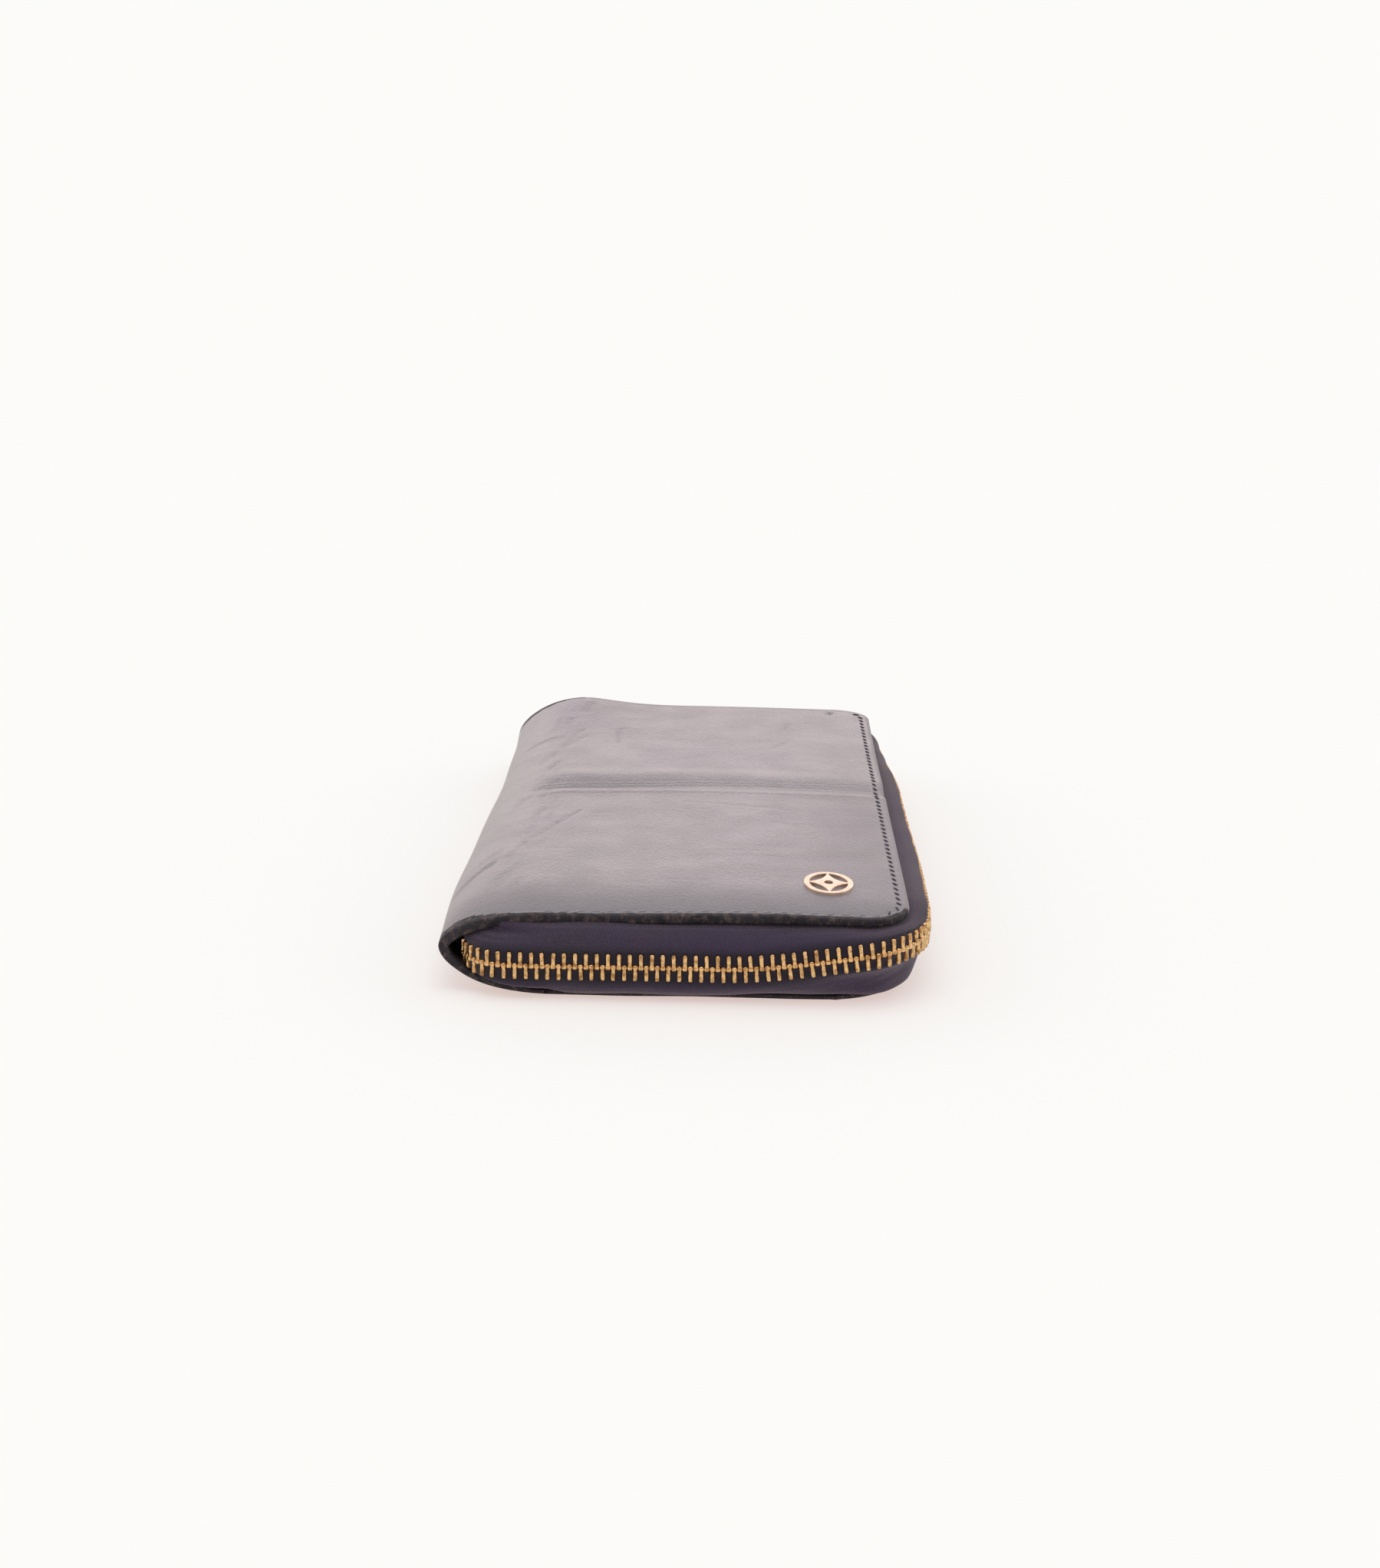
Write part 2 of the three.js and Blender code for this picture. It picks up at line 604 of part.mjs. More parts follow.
const TEETH_START = 2.4;
const FAR_SPLIT = FAR_SIDE - 0.4;
const FAR_TEETH_END = FAR_SIDE + (CORNER_X - (SLIDER.x - 1.4));
const lowerWall = [CHAIN_Z - TAPE_START - TAIL, CHAIN_Z - TAPE_START];
const upperWall = [CHAIN_Z + TAPE_START, CHAIN_Z + TAPE_START + TAIL];
add("lower_zip_tape", tape(lowerTapeSection(), lowerWall), materials.tape);
add("upper_zip_tape", tape(upperTapeSection(), upperWall), materials.tape);
add("lower_zip_teeth", zipRow(-1, TEETH_START, FAR_SPLIT), materials.brass);
add("upper_zip_teeth", zipRow(1, TEETH_START, FAR_SPLIT), materials.brass);
add("lower_far_teeth", zipRow(-1, FAR_SPLIT + PIECE_GAP, FAR_TEETH_END), materials.brass);
add("upper_far_teeth", zipRow(1, FAR_SPLIT + PIECE_GAP, FAR_TEETH_END), materials.brass);
const TOP_STOP = FAR_SIDE + (CORNER_X - SLIDER.x) + SLIDER.length / 2 + STOP.long;
add("zip_bottom_stop", stopAt(1, [CHAIN_Z - 2.6, CHAIN_Z + 2.6]), materials.brass);
add("lower_top_stop", stopAt(TOP_STOP, [CHAIN_Z - CORD[1], CHAIN_Z - CORD[0]]), materials.brass);
add("upper_top_stop", stopAt(TOP_STOP, [CHAIN_Z + CORD[0], CHAIN_Z + CORD[1]]), materials.brass);

add("zip_slider", standOnFarSide(mainSlider()), materials.brass);
add("zip_slider_bridge", standOnFarSide(bridge(BRIDGE, SLIDER_FACE + 0.05)), materials.brass);
add("zip_pull", standOnFarSide(pullTab(PULL, PIVOT_OUT)), materials.brass);

add("coin_pocket_lower_wall", coinWall(coinWallZ), materials.innerLeather);
add("coin_pocket_upper_wall", coinWall(flip(coinWallZ)), materials.innerLeather);
add("coin_pocket_band", coinBand(), materials.innerLeather);
add("coin_lower_tape", coinTape(coinTapeZ), materials.tape);
add("coin_upper_tape", coinTape(flip(coinTapeZ)), materials.tape);
add("coin_lower_teeth", coinRow(-1), materials.brass);
add("coin_upper_teeth", coinRow(1), materials.brass);
add("coin_bottom_stop", coinStop(-COIN_ZIP.teethY - 1.6), materials.brass);
add("coin_slider", standOnCoinZip(coinSlider()), materials.brass);
const coinFace = COIN_SLIDER.face + COIN_SLIDER.plate;
add("coin_slider_bridge", standOnCoinZip(bridge(COIN_BRIDGE, coinFace + 0.05)), materials.brass);
add("coin_pull", standOnCoinZip(pullTab(COIN_PULL, COIN_PIVOT_OUT)), materials.brass);

[["near", -1], ["far", 1]].forEach(([name, end]) => {
  add(`${name}_lower_gusset`, gusset(end, lowerGussetZ), materials.innerLeather);
  add(`${name}_upper_gusset`, gusset(end, flip(lowerGussetZ)), materials.innerLeather);
});

export default wallet;
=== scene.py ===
# Looks of a long leather zip-around wallet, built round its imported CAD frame. Lengths are in millimetres
# in the shape functions and become metres in make_piece().
import json
import math

import bmesh
import bpy
import numpy as np
from mathutils import Matrix, Vector


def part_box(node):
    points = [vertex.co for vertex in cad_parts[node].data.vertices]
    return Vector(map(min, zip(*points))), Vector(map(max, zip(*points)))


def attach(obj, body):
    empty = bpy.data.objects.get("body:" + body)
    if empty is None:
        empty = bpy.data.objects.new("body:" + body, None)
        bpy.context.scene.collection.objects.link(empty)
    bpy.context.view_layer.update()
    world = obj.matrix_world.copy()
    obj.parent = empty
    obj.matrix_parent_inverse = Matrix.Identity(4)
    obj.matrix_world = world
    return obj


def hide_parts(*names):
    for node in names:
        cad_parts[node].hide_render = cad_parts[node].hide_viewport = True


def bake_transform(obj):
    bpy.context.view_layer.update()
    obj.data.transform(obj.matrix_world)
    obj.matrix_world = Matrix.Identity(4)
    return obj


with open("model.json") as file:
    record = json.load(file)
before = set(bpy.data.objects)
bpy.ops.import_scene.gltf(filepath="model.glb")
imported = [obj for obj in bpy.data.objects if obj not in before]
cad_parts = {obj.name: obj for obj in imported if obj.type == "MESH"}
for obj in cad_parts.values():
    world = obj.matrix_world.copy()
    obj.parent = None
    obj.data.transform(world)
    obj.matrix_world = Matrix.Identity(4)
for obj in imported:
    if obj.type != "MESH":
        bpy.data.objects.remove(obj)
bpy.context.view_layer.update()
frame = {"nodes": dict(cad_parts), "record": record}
MM = 0.001

# ---------------------------------------------------------------- sizes that repeat the CAD part's
COVER_X, COVER_Y, COVER_CORNER = 47.2, 92.2, 10.0  # reach of a cover along x and y, radius of its corners
CORNER_X, CORNER_Y = COVER_X - COVER_CORNER, COVER_Y - COVER_CORNER  # middle of a corner's arc
SPINE_X, SPINE_A, MID_Z = -30.0, 22.5, 9.3  # x of the fold, reach of the nose beyond it, its middle height
CHAIN_Y, CHAIN_CORNER, CHAIN_LEVEL = 96.4, 14.2, 8.5  # run of the zip's chain and its height
CHAIN_HALF = 3.1  # half the width across the chain
ZIP_TURN = 10.0  # radius at which both ends of the zip turn into the spine
PITCH = 2.3  # from tooth to tooth in one row

# ---------------------------------------------------------------- sizes of the soft form
LOW_CORNER = 14.5  # the back cover's zip-side corners are worn rounder than the front's
SKIN = 1.45  # thickness of the leather
RIM_TOP, RIM_BOTTOM, NOSE_EXTRA = 2.15, 1.05, 0.6  # turned edge: front, back, and what the nose adds
RIM = RIM_TOP / 2  # how far the rounded rim stands out past the sheet
FLOOR_GAP = 0.02
SEAM_INSET, STITCH_PITCH = 2.3, 3.3
CREASE_Y = 5.6  # the crosswise crease between the two columns of card slots
rng = np.random.default_rng(7)


# ---------------------------------------------------------------- small mesh kit
def smooth(q):
    """Soft step: 0 up to q = 0, 1 from q = 1."""
    q = np.clip(q, 0, 1)
    return q * q * (3 - 2 * q)


def bell(offset, width):
    return np.exp(-((offset / width) ** 2))


def waves(p, sizes, seed, count=9):
    """Smooth seeded noise of about unit height; p is (..., k) and sizes the k feature lengths."""
    r = np.random.default_rng(seed)
    p = np.asarray(p, float)
    total = 0
    for _ in range(count):
        d = r.normal(size=p.shape[-1])
        d /= np.linalg.norm(d)
        f = d * 2 * math.pi / np.asarray(sizes, float) * r.uniform(0.4, 1.9)
        total = total + np.sin(p @ f + r.uniform(0, 2 * math.pi))
    return total / math.sqrt(count)


def make_piece(name, verts, faces, body=None, slot=None, material=None, smooth_shade=True, **attributes):
    verts = np.asarray(verts, float).reshape(-1, 3)
    mesh = bpy.data.meshes.new(name)
    mesh.from_pydata((verts * MM).tolist(), [], [tuple(int(i) for i in f) for f in faces])
    mesh.validate()
    piece = bpy.data.objects.new(name, mesh)
    bpy.context.scene.collection.objects.link(piece)
    rest = mesh.attributes.new("rest", "FLOAT_VECTOR", "POINT")
    rest.data.foreach_set("vector", verts.astype(np.float32).ravel())
    for key, values in attributes.items():
        data = mesh.attributes.new(key, "FLOAT", "POINT")
        data.data.foreach_set("value", np.asarray(values, np.float32).ravel())
    mesh.polygons.foreach_set("use_smooth", [smooth_shade] * len(mesh.polygons))
    if material:
        mesh.materials.append(material)
    if body:
        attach(piece, body)
    return piece


def grid_faces(rows, cols, base=0, close_cols=False, flip=False):
    """Quads of a rows x cols grid of vertices numbered row by row."""
    i, j = np.meshgrid(np.arange(rows - 1), np.arange(cols if close_cols else cols - 1), indexing="ij")
    k = (j + 1) % cols
    quads = np.stack([i * cols + j, i * cols + k, (i + 1) * cols + k, (i + 1) * cols + j], -1).reshape(-1, 4)
    return ((quads[:, ::-1] if flip else quads) + base).tolist()


def tube(rings):
    """Closed tube through rings of shape (rows, cols, 3), with flat caps."""
    rings = np.asarray(rings)
    rows, cols = rings.shape[:2]
    faces = grid_faces(rows, cols, close_cols=True)
    faces.append(list(range(cols))[::-1])
    faces.append(list(range((rows - 1) * cols, rows * cols)))
    return rings.reshape(-1, 3), faces


def merged(parts):
    verts, faces, base = [], [], 0
    for v, f in parts:
        verts.append(v)
        faces.extend([[i + base for i in face] for face in f])
        base += len(v)
    return np.concatenate(verts), faces


def fix_normals(piece):
    bm = bmesh.new()
    bm.from_mesh(piece.data)
    bmesh.ops.recalc_face_normals(bm, faces=bm.faces)
    bm.to_mesh(piece.data)
    bm.free()


# ---------------------------------------------------------------- the zip's route
class Route:
    """Counter-clockwise plan path from the near end of the zip to its far end, by arc length."""

    def __init__(self, near_x, far_x):
        end_y = CHAIN_Y - ZIP_TURN
        arcs = [(near_x, -end_y, ZIP_TURN, 180, 270), (CORNER_X, -CORNER_Y, CHAIN_CORNER, 270, 360),
                (CORNER_X, CORNER_Y, CHAIN_CORNER, 0, 90), (far_x, end_y, ZIP_TURN, 90, 180)]
        points = []
        for cx, cy, r, a, b in arcs:
            t = np.radians(np.linspace(a, b, 60))
            arc = np.stack([cx + r * np.cos(t), cy + r * np.sin(t)], 1)
            if points:
                points.append(np.linspace(points[-1][-1], arc[0], 120)[1:-1])
            points.append(arc)
        points = np.concatenate(points)
        for _ in range(40):
            points[1:-1] = (points[:-2] + 2 * points[1:-1] + points[2:]) / 4
        tangent = np.gradient(points, axis=0)
        tangent /= np.linalg.norm(tangent, axis=1, keepdims=True)
        normal = np.stack([tangent[:, 1], -tangent[:, 0]], 1)
        self.points = points + normal * self.swing(points[:, 0], points[:, 1])[:, None]
        step = np.linalg.norm(np.diff(self.points, axis=0), axis=1)
        self.s = np.concatenate([[0], np.cumsum(step)])
        self.length = self.s[-1]

    @staticmethod
    def swing(x, y):
        """How far the soft tapes let the chain wander out of its true line."""
        long_side = 0.6 * bell(y + 42, 26) - 1.7 * smooth((y - 22) / 44)
        far_corner = 0.9 * bell(x - 52, 9) * bell(y - 84, 10)
        near_corner = 1.3 * bell(x - 49, 9) * bell(y + 90, 9)
        return long_side * smooth((x - 36) / 10) - far_corner - near_corner

    def where(self, s):
        return np.stack([np.interp(s, self.s, self.points[:, k]) for k in (0, 1)], -1)

    def at(self, s):
        """Position, tangent and outward normal in plan, each (..., 2)."""
        s = np.asarray(s, float)
        tangent = self.where(s + 0.4) - self.where(s - 0.4)
        tangent /= np.linalg.norm(tangent, axis=-1, keepdims=True)
        return self.where(s), tangent, np.stack([tangent[..., 1], -tangent[..., 0]], -1)


route = Route(near_x=-37.6, far_x=-36.0)


def chain_z(s):
    """The chain rides low on the near side, climbs round the near corner and comes level on the far side."""
    x, y = np.moveaxis(route.where(s), -1, 0)
    near = 7.4 + 0.3 * smooth((x + 35) / 40) + 4.7 * smooth((x - 7) / 46)
    side = 12.4 - 0.9 * smooth((y + 84) / 40) - 2.4 * smooth((y - 30) / 55)
    z = np.where((y < -CORNER_Y + 2) & (x < CORNER_X + 12), near, side)
    return np.where(y > CORNER_Y, CHAIN_LEVEL, z)


CHAIN_S = np.linspace(0, route.length, 900)
WINDOW = np.hanning(25)
CHAIN_Z = np.convolve(np.pad(chain_z(CHAIN_S), len(WINDOW) // 2, mode="edge"), WINDOW / WINDOW.sum(), "valid")


def chain_height(s):
    return np.interp(s, CHAIN_S, CHAIN_Z)


# ---------------------------------------------------------------- dents and form of the front panel
def groove(s, y, a, b, width, depth):
    """A soft groove along the segment a-b of the (s, y) sheet."""
    a, b = np.array(a, float), np.array(b, float)
    d = b - a
    t = np.clip(((s - a[0]) * d[0] + (y - a[1]) * d[1]) / (d @ d), 0, 1)
    gap = np.hypot(s - a[0] - t * d[0], y - a[1] - t * d[1])
    ends = smooth(np.minimum(t, 1 - t) * 4 + 0.15)
    return -depth * ends * bell(gap, width)


def grooves(creases, s, y):
    return sum(groove(s, y, *crease) for crease in creases)


FINE_CREASES = [  # start and end in (distance from the spine fold, y), width, depth
    ((-24, -71), (-13, -53), 0.9, 0.42), ((-22, -62), (-12, -44), 1.2, 0.2),
    ((-12, -76), (-9, -66), 0.6, 0.16), ((8.4, 46), (7.4, 62), 0.7, 0.22), ((7.4, 62), (10.5, 64), 0.6, 0.14),
    ((53, 64), (54.5, 74), 0.8, 0.14), ((49, 43), (54, 53), 0.6, 0.12), ((-3, 76), (-0.5, 88), 1.1, 0.2),
    ((64.5, 85), (67.5, 88), 0.7, 0.3), ((67, 84.5), (65.5, 89), 0.6, 0.25), ((-19, 48), (-9, 57), 0.8, 0.2),
    ((24, -8.4), (58, -15.8), 0.8, 0.07),
]


def fold_wrinkles(count=40):
    """Fine slanting wrinkles where the panel turns into the spine: start, end, width and depth of each."""
    r = np.random.default_rng(19)
    found = []
    for k in range(count):
        y = -80 + 150 * (k + r.uniform(0, 1)) / count
        s = -9.5 + 0.02 * y + r.normal(0, 3.0)
        run, lean = r.uniform(6, 18), r.normal(0.26, 0.16)
        end = (s + run * math.sin(lean), y + run * math.cos(lean))
        found.append(((s, y), end, r.uniform(0.45, 0.7), r.uniform(0.08, 0.22)))
    return found


def scattered_folds(count=60):
    """Short shallow folds across the wallet, none of them running its whole width."""
    r = np.random.default_rng(31)
    found = []
    for _ in range(count):
        start, run = np.array([r.uniform(-16, 74), r.uniform(-78, 86)]), r.uniform(4, 16)
        lean = r.normal(0, 0.06)
        end = start + [run * math.cos(lean), run * math.sin(lean)]
        found.append((start, end, r.uniform(0.5, 1.1), r.uniform(-0.02, 0.05)))
    return found


CREASES = FINE_CREASES + fold_wrinkles()
SCATTERED_FOLDS = scattered_folds()


def dents(s, y):
    """Height added to the sheet: the crease between the card columns, wrinkles and slow waves."""
    t = y - CREASE_Y + 0.014 * (s - 30) ** 2 / 12 * (s < 30)
    reach = smooth((s + 18) / 16)
    strong = (0.58 + 0.42 * smooth((44 - s) / 40)) * reach
    valley = -1.05 * np.where(t > 0, np.exp(-((np.abs(t) / 5.0) ** 1.35)), bell(t, 2.6))
    total = strong * (valley + 0.36 * bell(t - 10.8, 4.0) + 0.36 * bell(t + 5.1, 2.7))
    for offset, depth in ((1.5, 0.10), (3.1, 0.09), (4.9, 0.06), (-7.6, 0.05)):
        total = total - reach * depth * bell(t - offset - 0.012 * s, 0.5)
    p = np.stack([s, y], -1)
    total = total + 0.035 * waves(p, (140, 34), 3) + 0.012 * waves(p, (30, 14), 4)
    return total + grooves(CREASES, s, y) + grooves(SCATTERED_FOLDS, s, y)


def drop(distance, reach, amount):
    """How far a padded panel droops at that distance from its edge."""
    return amount * np.clip(1 - distance / reach, 0, 1) ** 2


def top_form(x, y):
    """Height of the top panel without dents, for x right of the spine fold."""
    q = (x - SPINE_X) / (COVER_X - SPINE_X)
    crown = 0.55 * (4 * q * (1 - q)) ** 2 * (1 - 0.6 * smooth((y - 50) / 40))
    right = drop(COVER_X - x, 10, 0.55) * smooth((96 - y) / 50)
    far = 0.25 * smooth((y - 40) / 50)
    near = drop(COVER_Y + y, 36, 1.05 - 0.65 * smooth((x + 15) / 45)) + drop(COVER_Y + y, 14, 0.75)
    return 18.85 + crown + far - near - right


def hump(x, y):
    """The far end of the spine stands taller, because the slider is folded in beneath it."""
    return 2.1 * bell(x + 35, 14) * bell(y - 95, 23)


def spine_swell(y):
    """Outward swell of the nose: fuller toward the near end, slack beyond the middle."""
    return 0.95 * bell(y + 60, 24) - 1.3 * bell(y - 33, 30) - 0.8 * bell(y - 72, 18)


def seam(x, y):
    """Distance in from the cover's edge in plan."""
    inside = np.minimum(COVER_X - x, COVER_Y - np.abs(y))
    corner = COVER_CORNER - np.hypot(x - CORNER_X, np.abs(y) - CORNER_Y)
    return np.where((x > CORNER_X) & (np.abs(y) > CORNER_Y), corner, inside)


def seam_dip(distance, y):
    """The groove that the thread pulls in, slight along the two short edges."""
    return -(0.24 - 0.18 * smooth((np.abs(y) - 80) / 6)) * bell(distance - SEAM_INSET, 0.6)


def top_z(x, y):
    return top_form(x, y) + hump(x, y) + dents(x - SPINE_X, y) + seam_dip(seam(x, y), y)


# ---------------------------------------------------------------- the leather sheet
# Its rows run along the wallet. Its columns go from the back cover's zip side to the spine, up round the
# nose, and over the front cover to its zip side.
LOW_COLS, NOSE_COLS, TOP_COLS = 44, 64, 128
TOP_START = LOW_COLS + NOSE_COLS
LOW, NOSE, TOP = np.s_[:, :LOW_COLS], np.s_[:, LOW_COLS:TOP_START], np.s_[:, TOP_START:]
KEY_ROW = 170  # a row near mid length, along which the way round the nose is measured
UNDERSIDE = -80  # stands for the distance from the fold all over the back cover
RIM_STEPS, RIM_SQUARENESS = 9, 0.45


def edge_x(ys, corner):
    """x of the sheet's zip-side edge at each y, for corners of that radius."""
    over = np.clip((np.abs(ys) - (COVER_Y - RIM - corner)) / corner, 0, 1)
    return COVER_X - RIM - corner * (1 - np.sqrt(1 - over**2))


def plain_sheet():
    """The sheet without dents: x, y, z and the distance s from the spine fold, each (rows, columns)."""
    corner = COVER_CORNER - RIM
    straight = COVER_Y - RIM - corner
    ends = straight + corner * np.cos(np.radians(np.linspace(0, 90, 15)[:-1]))
    ys = np.concatenate([-ends, np.linspace(-straight, straight, 330), ends[::-1]])
    y = np.repeat(ys[:, None], TOP_START + TOP_COLS, 1)
    x, z, s = np.zeros_like(y), np.zeros_like(y), np.zeros_like(y)

    x[LOW] = SPINE_X + (edge_x(ys, LOW_CORNER)[:, None] - SPINE_X) * np.linspace(1, 0, LOW_COLS)
    lift = np.clip(1 - (COVER_Y - np.abs(y[LOW])) / 9, 0, 1) ** 2
    corner_gap = np.hypot(x[LOW] - 48, np.abs(y[LOW]) - 93)
    z[LOW] = FLOOR_GAP + 0.12 * lift * smooth((x[LOW] - 20) / 15) + 1.1 * bell(corner_gap, 11)
    s[LOW] = UNDERSIDE

    angle = np.linspace(-math.pi / 2, -1.5 * math.pi, NOSE_COLS + 2)[1:-1]
    up = np.sin(angle)
    up = np.where(up < 0, -np.abs(up) ** 0.93, up)
    upper_half = top_form(SPINE_X, ys)[:, None] - MID_Z
    x[NOSE] = SPINE_X + (SPINE_A + spine_swell(ys)[:, None]) * np.cos(angle)
    z[NOSE] = MID_Z + np.where(up > 0, upper_half, MID_Z - FLOOR_GAP) * up

    across = np.linspace(0, 1, TOP_COLS)
    across = across + 0.05 * np.sin(across * math.pi) * across
    x[TOP] = SPINE_X + (edge_x(ys, corner)[:, None] - SPINE_X) * across
    z[TOP] = top_form(x[TOP], y[TOP])
    round_nose = np.s_[KEY_ROW, LOW_COLS:TOP_START + 1]
    arc = np.hypot(np.diff(x[round_nose]), np.diff(z[round_nose]))
    s[NOSE] = -np.cumsum(arc[::-1])[::-1]
    s[TOP] = x[TOP] - SPINE_X
    return x, y, z, s


def rim_rings(edge, normals, thick):
    """Rings of the rounded rim that joins the sheet's outer face to its inner one along the closed edge."""
    along = np.roll(edge, -1, 0) - np.roll(edge, 1, 0)
    outward = np.cross(along, normals)
    outward /= np.linalg.norm(outward, axis=1, keepdims=True)
    rings = []
    for a in np.arange(1, RIM_STEPS) * math.pi / RIM_STEPS:
        out = math.sin(a) ** RIM_SQUARENESS
        down = math.copysign(abs(math.cos(a)) ** RIM_SQUARENESS, math.cos(a))
        rings.append(edge + normals * thick / 2 * (down - 1) + outward * RIM * out)
    return rings


def show_wear_and_shade(wrap, wear, worn_and_shade_material):
    """Give the second material to the faces whose corners are worn enough, and to those set in full as
    painted shade.
    """
    corners = np.empty(len(wrap.data.loops), np.int32)
    wrap.data.loops.foreach_get("vertex_index", corners)
    worn = wear[corners.reshape(-1, 4)].mean(1) > 0.6
    wrap.data.materials.append(worn_and_shade_material)
    wrap.data.polygons.foreach_set("material_index", worn.astype(np.int32))


def build_wrap(material, worn_and_shade_material):
    """Back cover, spine and front cover: one closed sheet of leather with a rounded rim."""
    x, y, z, s = plain_sheet()
    points = np.stack([x, y, z], -1)
    # low down, the near end splays out and the nose is pressed in
    spread = 0.9 + 0.9 * smooth((4 - x) / 20) * smooth((5 - z) / 4)
    points[..., 1] -= spread * smooth((-70 - y) / 21) * smooth((13 - z) / 10)
    points[..., 0] += 1.3 * smooth((-74 - y) / 16) * smooth((10.5 - z) / 7) * (x < SPINE_X)
    normals = np.cross(np.gradient(points, axis=1), np.gradient(points, axis=0))
    normals /= np.linalg.norm(normals, axis=-1, keepdims=True)
    border = seam(x, y)
    height = dents(s, y) * smooth((s + 27) / 9) + hump(x, y) * smooth((z - 10) / 8)
    height = height + seam_dip(border, y) * smooth((s + 24) / 10)
    points = points + normals * height[..., None]

    rows, cols = x.shape
    size = rows * cols
    share = smooth((np.arange(cols) - LOW_COLS) / NOSE_COLS)
    rim_thick = RIM_BOTTOM * (1 - share) + (RIM_TOP - 0.45 * smooth(x / 40)) * share
    rim_thick = rim_thick + NOSE_EXTRA * 4 * share * (1 - share)
    thick = SKIN + smooth(1 - (border - RIM) / 3.5) * (rim_thick - SKIN)
    inner = points - normals * thick[..., None]
    index = np.arange(size).reshape(rows, cols)
    loop = np.concatenate([index[0], index[1:, -1], index[-1, -2::-1], index[-2:0:-1, 0]])
    count = len(loop)
    rings = rim_rings(points.reshape(-1, 3)[loop], normals.reshape(-1, 3)[loop], thick.ravel()[loop, None])
    verts = np.concatenate([points.reshape(-1, 3), inner.reshape(-1, 3), *rings])
    faces = grid_faces(rows, cols) + grid_faces(rows, cols, base=size, flip=True)
    layers = [2 * size + k * count + np.arange(count) for k in range(RIM_STEPS - 1)]
    layers = [loop, *layers, loop + size]
    for a, b in zip(layers, layers[1:]):
        faces += np.stack([a, b, np.roll(b, -1), np.roll(a, -1)], 1).tolist()

    visible = np.arange(cols) >= LOW_COLS
    rim_count = (RIM_STEPS - 1) * count
    # painted shade: where the panel droops toward the near and right edges its colour is darkened and its
    # roughness raised; the rim below takes the same in full for its dark edge paint
    side_droop = 0.55 * smooth(1 - (COVER_X - x) / 34) * smooth((40 - y) / 70)
    droop = np.maximum(smooth(1 - (COVER_Y + y) / 26), side_droop) * visible
    # painted shade: the colour is darkened and the roughness raised in the creases and wrinkles
    folds = np.clip(-grooves(CREASES, s, y) / 0.9, 0, 0.45) * visible
    wrap = make_piece("leather_wrap", verts, faces, material=material,
                      droop=np.concatenate([droop.ravel(), np.zeros(size), np.ones(rim_count)]),
                      folds=np.concatenate([folds.ravel(), np.zeros(size + rim_count)]))
    # the rim and the patches rubbed through beside it are worn at the near end and round the nose
    reach = 0.45 + 3.4 * smooth(-(s + 4) / 16)
    rub = smooth(1.25 - (border - RIM) / reach) * visible
    handled = np.maximum(smooth((-80 - y) / 7), smooth((-30 - x) / 6)).ravel()
    patches = 0.22 * waves(points.reshape(-1, 3), (2.6, 2.6, 2.6), 51) + rng.normal(0, 0.08, size)
    outer_wear, rim_wear = (rub.ravel() + patches) * handled, np.tile(handled[loop], RIM_STEPS - 1)
    # painted shade: the sheet's whole inner face takes the dark worn material, so the hollow reads dark
    show_wear_and_shade(wrap, np.concatenate([outer_wear, np.ones(size), rim_wear]), worn_and_shade_material)
    fix_normals(wrap)
    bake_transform(wrap)
    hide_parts("front_cover", "back_cover", "spine_leather")


# ---------------------------------------------------------------- stitches
def stitch(centre, along, up, length=2.5, radius=0.26, slant=0.0, sink=0.28):
    """One thread stitch: a short bent tube whose ends dive into the leather."""
    along, up = np.array(along, float), np.array(up, float)
    direction = along * math.cos(slant) + np.cross(up, along) * math.sin(slant)
    across = np.cross(up, direction)
    angles = np.linspace(0, 2 * math.pi, 8, endpoint=False)
    rings = []
    for t in np.linspace(-1, 1, 7):
        c = np.array(centre) + direction * t * length / 2 + up * (radius * 0.55 - sink * abs(t) ** 3 * 1.6)
        r = radius * (1 - 0.45 * abs(t) ** 4)
        rings.append([c + across * r * math.cos(a) + up * r * math.sin(a) for a in angles])
    return tube(rings)


def panel_frame(x, y, heading):
    """On the front panel at (x, y): the plan direction heading laid on the leather, and the normal."""
    h = 0.4
    slope = np.array([top_z(x + h, y) - top_z(x - h, y), top_z(x, y + h) - top_z(x, y - h)]) / (2 * h)
    along, up = np.array([*heading, slope @ heading]), np.array([*-slope, 1.0])
    return along / np.linalg.norm(along), up / np.linalg.norm(up)


